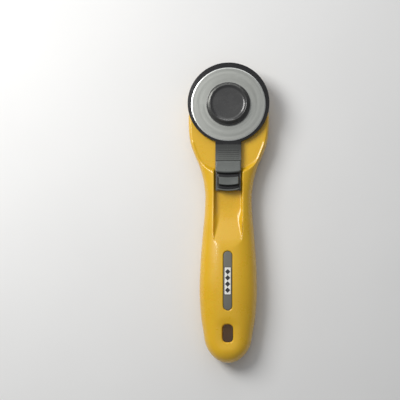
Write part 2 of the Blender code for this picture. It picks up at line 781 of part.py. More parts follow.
def build_blade(material, parent):
    z0 = BLADE_Z
    z1 = BLADE_Z + BLADE_T
    middle = 0.5 * (z0 + z1)
    flat_r = BLADE_R - EDGE_BEVEL
    profile = [
        (BLADE_HOLE_R, z0), (BLADE_HOLE_R, z1), (flat_r, z1), (BLADE_R, middle + 0.02),
        (BLADE_R, middle - 0.02), (flat_r, z0),
    ]
    return make_object("blade", turned(profile, 72, (0.0, AXIS_Y)), material, parent, 3.0)


def build_pin_cap(material, parent):
    """Dished cap with a bevelled skirt; hollow below for the tension washer and pin core."""
    profile = [
        (0.0, 19.9), (6.0, 20.1), (CAP_DISH_R, 20.5), (CAP_DISH_R + 0.45, CAP_TOP - 0.05),
        (CAP_RIM_R - 0.2, CAP_TOP), (CAP_RIM_R + 0.3, CAP_TOP - 0.4), (12.6, 18.6), (CAP_R, 17.9),
        (CAP_R, CAP_Z0), (8.4, CAP_Z0), (8.4, 18.3), (2.7, 18.3), (2.7, 19.2), (0.0, 19.2),
    ]
    return make_object("pin_cap", turned(profile, 48, (0.0, AXIS_Y)), material, parent)


def build_pin_sleeve(material, parent):
    z0 = PLATE_Z1 + 0.5
    z1 = 18.0
    profile = [
        (SLEEVE_BORE_R, z0), (SLEEVE_BORE_R, z1), (SLEEVE_R, z1), (SLEEVE_R, z0 + 0.4), (SLEEVE_R - 0.4, z0),
    ]
    return make_object("pin_sleeve", turned(profile, 28, (0.0, AXIS_Y)), material, parent)


def build_pin_core(material, parent):
    """Steel core: the grey tip, the waist that the lock plate grips, and the long stem."""
    profile = [
        (0.0, TIP_Z0), (TIP_R - 0.7, TIP_Z0), (TIP_R, TIP_Z0 + 0.7), (TIP_R, TIP_Z1),
        (CORE_R, TIP_Z1), (CORE_R, 18.9), (0.0, 18.9),
    ]
    return make_object("pin_core", turned(profile, 24, (0.0, AXIS_Y)), material, parent)


def build_tension_washer(material, parent):
    """Waved spring washer between the cap and the blade."""
    segments = 36
    inner = 4.4
    outer = 7.9
    thickness = 0.3
    sections = []
    for i in range(segments):
        angle = 2.0 * math.pi * i / segments
        low = 17.3 + 0.3 * math.cos(3.0 * angle)
        c = math.cos(angle)
        s = math.sin(angle)
        ring = []
        for radius, z in ((inner, low), (outer, low), (outer, low + thickness), (inner, low + thickness)):
            ring.append((radius * c, AXIS_Y + radius * s, z))
        sections.append(ring)
    bm = bmesh.new()
    rings = [[bm.verts.new(point) for point in section] for section in sections]
    for ring, following in zip(rings, rings[1:] + rings[:1]):
        for i in range(4):
            j = (i + 1) % 4
            bm.faces.new((ring[i], ring[j], following[j], following[i]))
    return make_object("tension_washer", bm, material, parent)


# ---- assembly ---------------------------------------------------------------------------


def build_cutter():
    yellow = make_material("yellow_plastic", YELLOW, 0.38)
    black = make_material("black_plastic", BLACK, 0.45)
    dark_grey = make_material("dark_grey_plastic", DARK_GREY, 0.5)
    blade_steel = make_material("blade_steel", STEEL, 0.3, 1.0)
    plain_steel = make_material("plain_steel", STEEL, 0.35, 1.0)
    slot_grey = make_material("slot_grey_plastic", SLOT_GREY, 0.5)
    off_white = make_material("off_white_plastic", OFF_WHITE, 0.45)

    build_front_shell(yellow)
    build_rear_shell(yellow)
    build_name_inlay(slot_grey)
    build_label_plate(off_white)
    build_shaft_bush(plain_steel)
    build_detent_spring(plain_steel)
    build_lever_spring(plain_steel)
    for i, (x, y) in enumerate(SHELL_SCREWS, 1):
        build_shell_screw(i, x, y, plain_steel)

    guard = make_empty("guard_slide", (0.0, AXIS_Y, GUARD_BOTTOM))
    build_blade_guard(black, guard)
    build_thumb_slide(dark_grey, guard)
    build_slide_retainer(black, guard)
    for i, y in enumerate(SLIDE_SCREW_YS, 1):
        build_retainer_screw(i, y, plain_steel, guard)

    lever = make_empty("lever_slide", (0.0, AXIS_Y, PLATE_Z0))
    build_release_lever(black, lever)
    build_lock_plate(plain_steel, lever)
    for i, y in enumerate(RIVET_YS, 1):
        build_lever_rivet(i, y, plain_steel, lever)

    spindle = make_empty("spindle_axis", (0.0, AXIS_Y, BLADE_Z))
    build_blade(blade_steel, spindle)
    build_pin_cap(dark_grey, spindle)
    build_pin_sleeve(black, spindle)
    build_pin_core(plain_steel, spindle)
    build_tension_washer(plain_steel, spindle)


clear_scene()
build_cutter()
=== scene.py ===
import math

import bmesh
import bpy
import numpy as np
from mathutils import Matrix, Vector


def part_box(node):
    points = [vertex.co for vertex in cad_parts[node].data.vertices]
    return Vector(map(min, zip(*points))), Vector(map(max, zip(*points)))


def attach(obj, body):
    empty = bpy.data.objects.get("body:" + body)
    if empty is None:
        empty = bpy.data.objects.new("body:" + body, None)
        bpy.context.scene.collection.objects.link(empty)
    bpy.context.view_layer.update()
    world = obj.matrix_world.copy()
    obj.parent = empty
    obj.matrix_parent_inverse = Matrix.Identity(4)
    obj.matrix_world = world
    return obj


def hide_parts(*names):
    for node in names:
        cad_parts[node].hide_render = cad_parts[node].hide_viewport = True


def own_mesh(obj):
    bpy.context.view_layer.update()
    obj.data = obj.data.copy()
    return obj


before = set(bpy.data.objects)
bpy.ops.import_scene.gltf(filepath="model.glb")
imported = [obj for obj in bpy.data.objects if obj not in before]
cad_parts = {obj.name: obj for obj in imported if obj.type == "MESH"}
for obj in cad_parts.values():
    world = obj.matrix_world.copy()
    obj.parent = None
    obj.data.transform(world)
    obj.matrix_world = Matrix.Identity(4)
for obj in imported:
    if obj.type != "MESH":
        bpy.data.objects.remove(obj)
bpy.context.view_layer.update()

MM = 0.001

# ---- the frame's own sizes, in millimetres ----


def node_box(node):
    low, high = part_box(node)
    return [value / MM for value in low], [value / MM for value in high]


BLADE_LOW, BLADE_HIGH = node_box("blade")
GUARD_LOW, GUARD_HIGH = node_box("blade_guard")
CAP_LOW, CAP_HIGH = node_box("pin_cap")
PAD_LOW, PAD_HIGH = node_box("thumb_slide")
LABEL_LOW, LABEL_HIGH = node_box("label_plate")
LEVER_LOW, LEVER_HIGH = node_box("release_lever")

AXIS_Y = 0.5 * (BLADE_LOW[1] + BLADE_HIGH[1])
BLADE_R = 0.5 * (BLADE_HIGH[0] - BLADE_LOW[0])
GUARD_R = 0.5 * (GUARD_HIGH[0] - GUARD_LOW[0])
GUARD_CENTRE = GUARD_HIGH[1] - GUARD_R

# ---- the handle's form, as in the CAD ----

GAP = 0.3
SEAM_Z = 8.0
SEAM_OVERLAP = 3.0
CLEAR_TOP = 30.0

OUTLINE = (
    (-90.6, 12.4), (-76.0, 14.2), (-62.0, 16.4), (-47.0, 17.3), (-33.0, 16.9), (-12.0, 15.4), (0.0, 14.4),
    (9.0, 14.1), (17.0, 14.9), (27.5, 17.6), (35.0, 20.8), (42.5, 23.4), (50.0, 24.4), (57.0, 24.6),
)
CROWN = (
    (-90.0, 17.0), (-76.0, 17.8), (-45.0, 20.0), (-10.0, 18.8), (20.0, 17.6), (45.0, 17.6), (80.0, 17.0),
)
BELLY = ((-90.0, 1.2), (-70.0, -0.5), (-35.0, -0.7), (0.0, 1.4), (22.0, 0.9), (38.0, -0.8), (80.0, -0.8))
SQUARENESS = ((-90.0, 2.3), (0.0, 2.3), (40.0, 2.8), (80.0, 3.0))
BACK_SQUARENESS = 3.2
REST_ROUND = 0.25

HEAD_PLANE = 12.8
HEAD_CENTRE = 57.0
HEAD_W = 24.6
HEAD_LEN = 23.0
HEAD_SOFT = 3.0
HEAD_POWER = 2.4
TAIL_TIP = -90.6
TAIL_ROUND = 14.0
TAIL_SOFT = 9.0
TAIL_POWER = 2.2

HANG_Y = -72.9
HANG_W = 6.5
HANG_L = 10.6
HANG_CORNER_R = 2.5
HANG_EDGE_R = 0.8
HANG_DISH = 0.55
HANG_DISH_REACH = 3.0
NAME_Y0 = -59.2
NAME_Y1 = -24.4
NAME_W = 5.0
NAME_EDGE_R = 0.45
LABEL_Y0 = -50.0
LABEL_Y1 = -34.0
LABEL_W = 3.7

RECESS_W = 13.6
RECESS_Y0 = 33.5
RECESS_Y1 = 77.0
RECESS_DEPTH = 2.9
RECESS_EDGE_R = 0.6
WINDOW_W = 11.0
WINDOW_Y0 = 37.6
LEDGE_Z = 3.9
PLATE_POCKET_W = 18.0
PLATE_POCKET_Y0 = 32.5
SPRING_SEAT_Y = 26.0
BUSH_BORE_R = 5.9
RIVET_YS = (46.0, 54.0)

SHELL_SCREWS = ((-16.0, 50.0), (16.0, 50.0), (0.0, -11.0), (0.0, -63.4))
SHELL_SCREW_TOP = 10.6
SCREW_SEAT_R = 2.9
SCREW_SEAT_Z = 2.8
SCREW_SEAT_EDGE_R = 0.35
SCREW_HOLE_R = 1.5

RETAINER_SCREW_YS = (25.5, 33.0)
RETAINER_HOLE_R = 1.25
RETAINER_POCKET_X = 0.7
RETAINER_POCKET_Y = 26.0
RETAINER_POCKET_HALVES = (7.1, 14.6)
RETAINER_POCKET_TOP = 11.6
FLOOR_SLOT_HALF = 2.5
FLOOR_SLOT_YS = (13.0, 35.6)

GRIP_POCKET_ROWS = ((-57.5, -47.5), (-45.9, -35.9), (-34.3, -25.4))
GRIP_POCKET_X = 6.0
GRIP_POCKET_HALF = 4.4

# ---- finer than the CAD: the ramp round the sunken head, and the thumb channel ----

RAMP_R = 22.3
RAMP_CENTRE = 46.9
RAMP_INSET = 2.8
RAMP_START = 0.4
RAMP_SLOPE = 0.46
RAMP_SLOPE_GAIN = 1.4
RAMP_EDGE = 0.7
RAMP_EDGE_GAIN = 0.8
RAMP_FADE_DROP = 6.0
RAMP_FADE_Y = 42.0
RAMP_FADE_REACH = 3.5
SHOULDER_Y = 30.0
SHOULDER_REACH = 7.0
CHANNEL_W = 17.0
CHANNEL_FLAT_END = 3.0
CHANNEL_END = -24.0
CHANNEL_TOP = 60.0
CHANNEL_FLATNESS = 0.66
CHANNEL_BLEND = 0.12
CHANNEL_EDGE_R = 0.8
CHANNEL_FILLET_R = 1.7
CHANNEL_SLANT_Y = 2.0
CHANNEL_SLANT_REACH = 11.0


# ---- small mathematics ----


def spline(points, y):
    """Monotone cubic through (y, value) points, held flat beyond the ends; y is an array."""
    xs = np.array([p[0] for p in points])
    vs = np.array([p[1] for p in points])
    slopes = np.diff(vs) / np.diff(xs)
    tangents = np.zeros(len(xs))
    tangents[0] = slopes[0]
    for i in range(1, len(slopes)):
        if slopes[i - 1] * slopes[i] > 0.0:
            tangents[i] = 2.0 * slopes[i - 1] * slopes[i] / (slopes[i - 1] + slopes[i])
    y = np.clip(np.asarray(y, dtype=float), xs[0], xs[-1])
    i = np.clip(np.searchsorted(xs, y, side="right") - 1, 0, len(slopes) - 1)
    span = xs[i + 1] - xs[i]
    t = (y - xs[i]) / span
    start = (1.0 + 2.0 * t) * (1.0 - t) ** 2 * vs[i] + t * (1.0 - t) ** 2 * span * tangents[i]
    end = t * t * (3.0 - 2.0 * t) * vs[i + 1] + t * t * (t - 1.0) * span * tangents[i + 1]
    return start + end


def smooth_step(t):
    t = np.clip(t, 0.0, 1.0)
    return t * t * (3.0 - 2.0 * t)


def soft_min(a, b, k):
    """The lower of two surfaces, with their meeting edge rounded over a width k."""
    h = np.clip(0.5 + 0.5 * (b - a) / k, 0.0, 1.0)
    return b + (a - b) * h - k * h * (1.0 - h)


def round_over(distance, radius):
    """How far an edge of this radius falls away at a distance outside a cut; 0 beyond it."""
    inside = np.clip(radius - distance, 0.0, radius)
    return radius - np.sqrt(np.maximum(radius * radius - inside * inside, 0.0))


def box_distance(x, y, centre_y, half_x, half_y, corner):
    """Signed distance to a rounded rectangle centred on x = 0."""
    dx = np.abs(x) - (half_x - corner)
    dy = np.abs(y - centre_y) - (half_y - corner)
    outside = np.hypot(np.maximum(dx, 0.0), np.maximum(dy, 0.0))
    return outside + np.minimum(np.maximum(dx, dy), 0.0) - corner


# ---- mesh helpers ----


def link(name, mesh):
    obj = bpy.data.objects.new(name, mesh)
    bpy.context.scene.collection.objects.link(obj)
    return obj


def closed_mesh(name, verts, faces):
    """Object from points in millimetres, with every face turned outward."""
    mesh = bpy.data.meshes.new(name)
    mesh.from_pydata([tuple(v) for v in np.asarray(verts) * MM], [], faces)
    mesh.validate()
    bm = bmesh.new()
    bm.from_mesh(mesh)
    bmesh.ops.recalc_face_normals(bm, faces=bm.faces)
    bm.to_mesh(mesh)
    bm.free()
    return link(name, mesh)


def finish_piece(obj, material, body, nodes, sharp=32.0):
    """Shade the piece, give it its finish, and make it ride on its body in place of CAD nodes."""
    mesh = obj.data
    mesh.materials.clear()
    mesh.materials.append(material)
    mesh.shade_smooth()
    mesh.set_sharp_from_angle(angle=math.radians(sharp))
    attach(obj, body)
    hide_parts(*nodes)


def ring_solid(name, rings):
    """Closed solid through equal rings of (x, y, z) rows, an array of shape (rings, points, 3)."""
    rings = np.asarray(rings, dtype=float)
    count, points = rings.shape[:2]
    faces = []
    for r in range(count - 1):
        base = r * points
        for i in range(points):
            j = (i + 1) % points
            faces.append((base + i, base + j, base + points + j, base + points + i))
    faces.append(tuple(range(points - 1, -1, -1)))
    faces.append(tuple(range((count - 1) * points, count * points)))
    return closed_mesh(name, rings.reshape(-1, 3), faces)


def prism(name, outline, z0, z1):
    ring = np.array(outline, dtype=float)
    low = np.column_stack([ring, np.full(len(ring), z0)])
    high = np.column_stack([ring, np.full(len(ring), z1)])
    return ring_solid(name, [low, high])


def turned(name, profile, segments, centre):
    """Solid of revolution about a vertical axis; the closed profile lists (radius, z)."""
    cx, cy = centre
    angles = np.linspace(0.0, 2.0 * math.pi, segments, endpoint=False)
    verts = []
    starts = []
    for radius, z in profile:
        starts.append((len(verts), radius < 1e-6))
        if radius < 1e-6:
            verts.append((cx, cy, z))
            continue
        for angle in angles:
            verts.append((cx + radius * math.cos(angle), cy + radius * math.sin(angle), z))
    faces = []
    for (a, a_point), (b, b_point) in zip(starts, starts[1:] + starts[:1]):
        if a_point and b_point:
            continue
        for i in range(segments):
            j = (i + 1) % segments
            corners = [a if a_point else a + i, a if a_point else a + j]
            corners += [b if b_point else b + j, b if b_point else b + i]
            faces.append(tuple(dict.fromkeys(corners)))
    return closed_mesh(name, verts, faces)


def rounded(profile):
    """Round the corners of an open (radius, z, fillet) chain into arcs."""
    steps = 4
    points = []
    for i, (x, z, fillet) in enumerate(profile):
        here = np.array((x, z))
        if fillet <= 0.0 or i in (0, len(profile) - 1):
            points.append((x, z))
            continue
        before = np.array(profile[i - 1][:2]) - here
        after = np.array(profile[i + 1][:2]) - here
        reach = min(fillet, 0.49 * np.linalg.norm(before), 0.49 * np.linalg.norm(after))
        a = here + before / np.linalg.norm(before) * reach
        b = here + after / np.linalg.norm(after) * reach
        for k in range(steps + 1):
            t = k / steps
            point = (1.0 - t) ** 2 * a + 2.0 * t * (1.0 - t) * here + t * t * b
            points.append(tuple(point))
    return points


def slot_outline(half, y0, y1, steps=20):
    """Slot along Y with half-round ends, centred on x = 0."""
    points = []
    for i in range(steps + 1):
        angle = math.pi * i / steps
        points.append((half * math.cos(angle), y1 - half + half * math.sin(angle)))
    for i in range(steps + 1):
        angle = math.pi + math.pi * i / steps
        points.append((half * math.cos(angle), y0 + half + half * math.sin(angle)))
    return points


def rounded_rectangle(half_x, half_y, centre_y, corner, steps=8, centre_x=0.0):
    points = []
    for sx, sy, start in ((1, 1, 0), (-1, 1, 90), (-1, -1, 180), (1, -1, 270)):
        for i in range(steps + 1):
            angle = math.radians(start + 90.0 * i / steps)
            x = centre_x + sx * (half_x - corner) + corner * math.cos(angle)
            y = centre_y + sy * (half_y - corner) + corner * math.sin(angle)
            points.append((x, y))
    return points


def circle(radius, x, y, segments):
    steps = [2.0 * math.pi * i / segments for i in range(segments)]
    return [(x + radius * math.cos(a), y + radius * math.sin(a)) for a in steps]


def join(objects, name):
    """Join separate closed pieces into one object."""
    bm = bmesh.new()
    for obj in objects:
        bm.from_mesh(obj.data)
        bpy.data.objects.remove(obj, do_unlink=True)
    mesh = bpy.data.meshes.new(name)
    bm.to_mesh(mesh)
    bm.free()
    return link(name, mesh)


def boolean(target, tool, operation):
    """Apply one exact Boolean and drop the tool."""
    modifier = target.modifiers.new("boolean", "BOOLEAN")
    modifier.operation = operation
    modifier.object = tool
    bake_modifiers(target)
    bpy.data.objects.remove(tool, do_unlink=True)


def bake_modifiers(obj):
    graph = bpy.context.evaluated_depsgraph_get()
    graph.update()
    mesh = bpy.data.meshes.new_from_object(obj.evaluated_get(graph))
    obj.modifiers.clear()
    obj.data = mesh


def bevel(obj, width, segments, angle):
    """Add a bevel modifier on the edges sharper than an angle in degrees."""
    modifier = obj.modifiers.new("edges", "BEVEL")
    modifier.width = width * MM
    modifier.segments = segments
    modifier.limit_method = "ANGLE"
    modifier.angle_limit = math.radians(angle)


# ---- materials ----


class Finish:
    """A Principled material with helpers for its procedural detail, in millimetres."""

    def __init__(self, name, roughness, metallic=0.0):
        self.material = bpy.data.materials.new(name)
        self.material.use_nodes = True
        self.tree = self.material.node_tree
        self.shader = self.tree.nodes["Principled BSDF"]
        self.shader.inputs["Roughness"].default_value = roughness
        self.shader.inputs["Metallic"].default_value = metallic
        self.coordinates = self.tree.nodes.new("ShaderNodeTexCoord").outputs["Object"]
        self.normal = None

    def link(self, a, b):
        self.tree.links.new(a, b)

    def set(self, **values):
        for key, value in values.items():
            self.shader.inputs[key.replace("_", " ")].default_value = value

    def noise(self, size_mm, detail, roughness=0.5, vector=None):
        node = self.tree.nodes.new("ShaderNodeTexNoise")
        node.inputs["Scale"].default_value = 1.0 / (size_mm * MM)
        node.inputs["Detail"].default_value = detail
        node.inputs["Roughness"].default_value = roughness
        self.link(vector if vector else self.coordinates, node.inputs["Vector"])
        return node.outputs["Fac"]

    def spread(self, value, low, high, to_low=0.0, to_high=1.0):
        node = self.tree.nodes.new("ShaderNodeMapRange")
        limits = {"From Min": low, "From Max": high, "To Min": to_low, "To Max": to_high}
        for socket, limit in limits.items():
            node.inputs[socket].default_value = limit
        self.link(value, node.inputs["Value"])
        return node.outputs["Result"]

    def spread_mm(self, value, low, high, to_low=0.0, to_high=1.0):
        """Spread a length, between two given in millimetres."""
        return self.spread(value, low * MM, high * MM, to_low, to_high)

    def math(self, operation, a, b=None):
        node = self.tree.nodes.new("ShaderNodeMath")
        node.operation = operation
        for socket, value in zip(node.inputs, (a, b)):
            if value is None:
                continue
            if isinstance(value, (int, float)):
                socket.default_value = value
            else:
                self.link(value, socket)
        return node.outputs["Value"]

    def mix(self, factor, a, b):
        node = self.tree.nodes.new("ShaderNodeMix")
        node.data_type = "RGBA"
        self.link(factor, node.inputs["Factor"])
        for socket, value in ((node.inputs[6], a), (node.inputs[7], b)):
            if isinstance(value, tuple):
                socket.default_value = (*value, 1.0)
            else:
                self.link(value, socket)
        return node.outputs[2]

    def colour(self, value):
        self.link(value, self.shader.inputs["Base Color"])

    def rough(self, value):
        self.link(value, self.shader.inputs["Roughness"])

    def bump(self, height, depth_mm, strength):
        node = self.tree.nodes.new("ShaderNodeBump")
        node.inputs["Distance"].default_value = depth_mm * MM
        node.inputs["Strength"].default_value = strength
        self.link(height, node.inputs["Height"])
        if self.normal:
            self.link(self.normal, node.inputs["Normal"])
        self.normal = node.outputs["Normal"]
        self.link(self.normal, self.shader.inputs["Normal"])

    def split(self):
        node = self.tree.nodes.new("ShaderNodeSeparateXYZ")
        self.link(self.coordinates, node.inputs["Vector"])
        return node.outputs["X"], node.outputs["Y"], node.outputs["Z"]

    def scratches(self, turn_deg, size_mm, length_ratio, low, high):
        """Thin straight marks: noise stretched along one direction."""
        mapping = self.tree.nodes.new("ShaderNodeMapping")
        mapping.inputs["Rotation"].default_value = (0.0, 0.0, math.radians(turn_deg))
        mapping.inputs["Scale"].default_value = (1.0, 1.0 / length_ratio, 1.0)
        self.link(self.coordinates, mapping.inputs["Vector"])
        return self.spread(self.noise(size_mm, 2.0, 0.6, mapping.outputs["Vector"]), low, high)


def yellow_plastic():
    """Glossy moulded ABS: warm yellow, faint flow clouds, orange peel and hairline scratches."""
    finish = Finish("yellow_plastic_finish", 0.32)
    clouds = finish.spread(finish.noise(26.0, 4.0), 0.3, 0.7)
    base = finish.mix(clouds, (0.690, 0.400, 0.010), (0.740, 0.436, 0.015))
    specks = finish.spread(finish.noise(1.1, 4.0, 0.7), 0.60, 0.78)
    base = finish.mix(finish.math("MULTIPLY", specks, 0.10), base, (0.50, 0.24, 0.012))
    finish.colour(base)
    haze = finish.spread(finish.noise(9.0, 5.0, 0.6), 0.3, 0.75, 0.24, 0.38)
    marks = finish.scratches(17.0, 0.16, 60.0, 0.66, 0.74)
    finish.rough(finish.math("ADD", haze, finish.math("MULTIPLY", marks, 0.10)))
    finish.bump(finish.noise(0.9, 2.0), 0.010, 0.5)
    finish.bump(finish.noise(0.16, 2.0), 0.003, 0.5)
    finish.set(Coat_Weight=0.3, Coat_Roughness=0.08, Specular_IOR_Level=0.5)
    finish.set(Subsurface_Weight=0.06, Subsurface_Scale=0.0015)
    return finish.material


# painted sheen: the guard's tongue is painted paler towards the thumb pad, standing in for the light its
# surface catches there
PAINTED_SHEEN_YS = (38.5, 31.0)
TONGUE_DISC_YS = (40.6, 39.8)
# painted shade: below these heights and past these places the thumb pad's recesses are painted near black
PAINTED_SHADE_ZS = (17.3, 16.6)
PAINTED_SHADE_YS = (24.2, 23.6)


def textured_plastic(name, dark, light, roughness, grain_mm, grain_depth, coat=0.0, specular=0.5,
                     tongue=None, hollow=None):
    """Moulded plastic with a fine eroded grain, slight clouding and worn patches.

    tongue is a paler colour painted over the guard between disc and pad, a painted sheen for the light
    the tongue catches towards the pad; hollow is a darker one painted into the thumb pad's recesses as
    painted shade.
    """
    finish = Finish(name, roughness)
    clouds = finish.spread(finish.noise(14.0, 4.0), 0.3, 0.7)
    base = finish.mix(clouds, dark, light)
    if tongue:
        _, y, _ = finish.split()
        # painted sheen: paler colour rising along the tongue towards the pad
        painted_sheen_toward_pad = finish.spread_mm(y, *PAINTED_SHEEN_YS, 0.36, 1.0)
        on_tongue = finish.spread_mm(y, *TONGUE_DISC_YS)
        base = finish.mix(finish.math("MULTIPLY", painted_sheen_toward_pad, on_tongue), base, tongue)
    if hollow:
        _, y, z = finish.split()
        # painted shade: darker colour painted into the pad's low recesses
        painted_recess_shade = finish.math("MULTIPLY", finish.spread_mm(z, *PAINTED_SHADE_ZS), finish.spread_mm(y, *PAINTED_SHADE_YS))
        base = finish.mix(painted_recess_shade, base, hollow)
    dust = finish.spread(finish.noise(0.7, 4.0, 0.7), 0.62, 0.80)
    base = finish.mix(finish.math("MULTIPLY", dust, 0.12), base, (0.30, 0.30, 0.29))
    finish.colour(base)
    wear = finish.spread(finish.noise(5.0, 5.0, 0.65), 0.35, 0.7, roughness + 0.06, roughness - 0.08)
    finish.rough(wear)
    finish.bump(finish.noise(grain_mm, 3.0, 0.6), grain_depth, 0.7)
    finish.bump(finish.noise(2.5, 2.0), 0.012, 0.4)
    finish.set(Coat_Weight=coat, Coat_Roughness=0.06, Specular_IOR_Level=specular)
    return finish.material


BLADE_EDGE_FROM = 0.6
BLADE_EDGE_TO = 0.4


def blade_steel():
    """Satin tool steel: fine rings from grinding, crossed by faint straight polishing marks."""
    finish = Finish("blade_steel_finish", 0.34, 1.0)
    x, y, _ = finish.split()
    away = finish.math("SUBTRACT", y, AXIS_Y * MM)
    squares = finish.math("ADD", finish.math("MULTIPLY", x, x), finish.math("MULTIPLY", away, away))
    radius = finish.math("SQRT", squares)
    angle = finish.math("ARCTAN2", away, x)
    combine = finish.tree.nodes.new("ShaderNodeCombineXYZ")
    finish.link(radius, combine.inputs["X"])
    finish.link(finish.math("MULTIPLY", angle, 0.0006), combine.inputs["Y"])
    rings = finish.noise(0.09, 3.0, 0.6, combine.outputs["Vector"])
    bands = finish.noise(1.6, 2.0, 0.5, combine.outputs["Vector"])
    cloud = finish.noise(11.0, 4.0)
    tone = finish.math("ADD", finish.math("MULTIPLY", rings, 0.5), finish.math("MULTIPLY", bands, 0.5))
    base = finish.mix(finish.spread(tone, 0.35, 0.65), (0.345, 0.355, 0.33), (0.43, 0.44, 0.415))
    base = finish.mix(finish.spread(cloud, 0.4, 0.8, 0.0, 0.25), base, (0.32, 0.315, 0.295))
    ground = finish.spread_mm(radius, BLADE_R - BLADE_EDGE_FROM, BLADE_R - BLADE_EDGE_TO)
    finish.colour(finish.mix(ground, base, (0.62, 0.63, 0.61)))
    satin = finish.spread(tone, 0.3, 0.7, 0.30, 0.44)
    finish.rough(finish.math("SUBTRACT", satin, finish.math("MULTIPLY", ground, 0.08)))
    finish.bump(rings, 0.0025, 0.6)
    finish.bump(finish.scratches(63.0, 0.12, 80.0, 0.5, 0.8), 0.0015, 0.5)
    return finish.material


def plain_steel(name, tint):
    """Zinc-bright steel: mottled passivation and fine handling marks."""
    finish = Finish(name, 0.3, 1.0)
    mottling = finish.spread(finish.noise(1.8, 4.0, 0.6), 0.3, 0.7)
    darker = tuple(0.78 * value for value in tint)
    finish.colour(finish.mix(mottling, darker, tint))
    finish.rough(finish.spread(finish.noise(0.8, 4.0), 0.3, 0.7, 0.22, 0.40))
    finish.bump(finish.noise(0.25, 3.0), 0.004, 0.5)
    return finish.material


def label_finish():
    """Off-white plate with a plain row of dark diamonds, raised a little."""
    finish = Finish("label_finish", 0.34)
    x, y, _ = finish.split()
    length = LABEL_HIGH[1] - LABEL_LOW[1]
    marks = 4
    margin = 0.7
    diamond_half = 1.6
    diamond_taper = 2.2
    pitch = (length - 2.0 * margin) / marks
    start = (LABEL_LOW[1] + margin) * MM
    along = finish.math("DIVIDE", finish.math("SUBTRACT", y, start), pitch * MM)
    within = finish.math("ABSOLUTE", finish.math("SUBTRACT", finish.math("FRACT", along), 0.5))
    across = finish.math("DIVIDE", finish.math("ABSOLUTE", x), diamond_half * MM)
    diamond = finish.math("ADD", across, finish.math("MULTIPLY", within, diamond_taper))
    mark = finish.math("LESS_THAN", diamond, 1.0)
    inside = finish.math("GREATER_THAN", along, 0.0)
    inside = finish.math("MULTIPLY", inside, finish.math("LESS_THAN", along, marks))
    mark = finish.math("MULTIPLY", mark, inside)
    clouds = finish.spread(finish.noise(3.0, 4.0), 0.3, 0.7)
    white = finish.mix(clouds, (0.74, 0.73, 0.68), (0.84, 0.83, 0.79))
    finish.colour(finish.mix(mark, white, (0.020, 0.020, 0.022)))
    finish.rough(finish.spread(finish.noise(1.2, 3.0), 0.3, 0.7, 0.26, 0.40))
    finish.bump(mark, 0.02, 0.6)
    finish.set(Coat_Weight=0.3, Coat_Roughness=0.1)
    return finish.material


def floor_finish():
    finish = Finish("floor_finish", 0.6)
    finish.colour(finish.mix(finish.noise(60.0, 3.0), (0.74, 0.74, 0.735), (0.78, 0.78, 0.775)))
    return finish.material


YELLOW = yellow_plastic()
BLACK = textured_plastic(
    "black_plastic_finish", (0.014, 0.014, 0.016), (0.022, 0.022, 0.024), 0.28, 0.25, 0.004,
)
# guard black, with a painted sheen on the tongue towards the pad
GUARD_BLACK = textured_plastic(
    "guard_black_finish", (0.012, 0.012, 0.013), (0.018, 0.018, 0.019), 0.24, 0.25, 0.003,
    specular=0.33, tongue=(0.122, 0.128, 0.120),
)
# the thumb pad's dark grey, with painted shade in its recesses
DARK_GREY = textured_plastic(
    "dark_grey_finish", (0.098, 0.106, 0.100), (0.122, 0.131, 0.123), 0.33, 0.2, 0.006,
    hollow=(0.012, 0.012, 0.013),
)
CAP_GREY = textured_plastic(
    "cap_grey_finish", (0.034, 0.034, 0.034), (0.044, 0.044, 0.043), 0.26, 0.2, 0.002, coat=0.5,
)
BLADE_STEEL = blade_steel()
PLAIN_STEEL = plain_steel("plain_steel_finish", (0.60, 0.60, 0.58))
SPRING_STEEL = plain_steel("spring_steel_finish", (0.52, 0.52, 0.53))
SLOT_GREY = textured_plastic(
    "slot_grey_finish", (0.125, 0.123, 0.103), (0.158, 0.155, 0.132), 0.42, 0.3, 0.006, coat=0.1,
)
LABEL = label_finish()


# ---- handle surface ----


def half_width(y):
    y = np.asarray(y, dtype=float)
    t_head = np.clip((y - HEAD_CENTRE) / HEAD_LEN, 0.0, 1.0)
    t_tail = np.clip((TAIL_TIP + TAIL_ROUND - y) / TAIL_ROUND, 0.0, 1.0)
    width = spline(OUTLINE, y) * np.sqrt(1.0 - t_tail**2)
    return np.where(y > HEAD_CENTRE, HEAD_W * np.sqrt(1.0 - t_head**2), width)


def end_height(y):
    """Share of the full height that the handle keeps near its two ends."""
    y = np.asarray(y, dtype=float)
    t = np.clip((TAIL_TIP + TAIL_SOFT - y) / TAIL_SOFT, 0.0, 1.0)
    near = (1.0 - t**TAIL_POWER) ** (1.0 / TAIL_POWER)
    t = np.clip((y - HEAD_CENTRE - HEAD_LEN + HEAD_SOFT) / HEAD_SOFT, 0.0, 1.0)
    return near * (1.0 - t**HEAD_POWER) ** (1.0 / HEAD_POWER)


def front_z(x, y):
    """Uncut front surface."""
    power = spline(SQUARENESS, y)
    rise = (spline(CROWN, y) - SEAM_Z) * end_height(y)
    t = np.clip(np.abs(x) / np.maximum(half_width(y), 0.01), 0.0, 1.0)
    return SEAM_Z + rise * (1.0 - t**power) ** (1.0 / power)


def back_z(x, y):
    """Uncut back surface, flat where it rests."""
    reach = (SEAM_Z - spline(BELLY, y)) * end_height(y)
    t = np.clip(np.abs(x) / np.maximum(half_width(y), 0.01), 0.0, 1.0)
    z = SEAM_Z - reach * (1.0 - t**BACK_SQUARENESS) ** (1.0 / BACK_SQUARENESS)
    return -soft_min(-z, np.zeros_like(z), REST_ROUND)


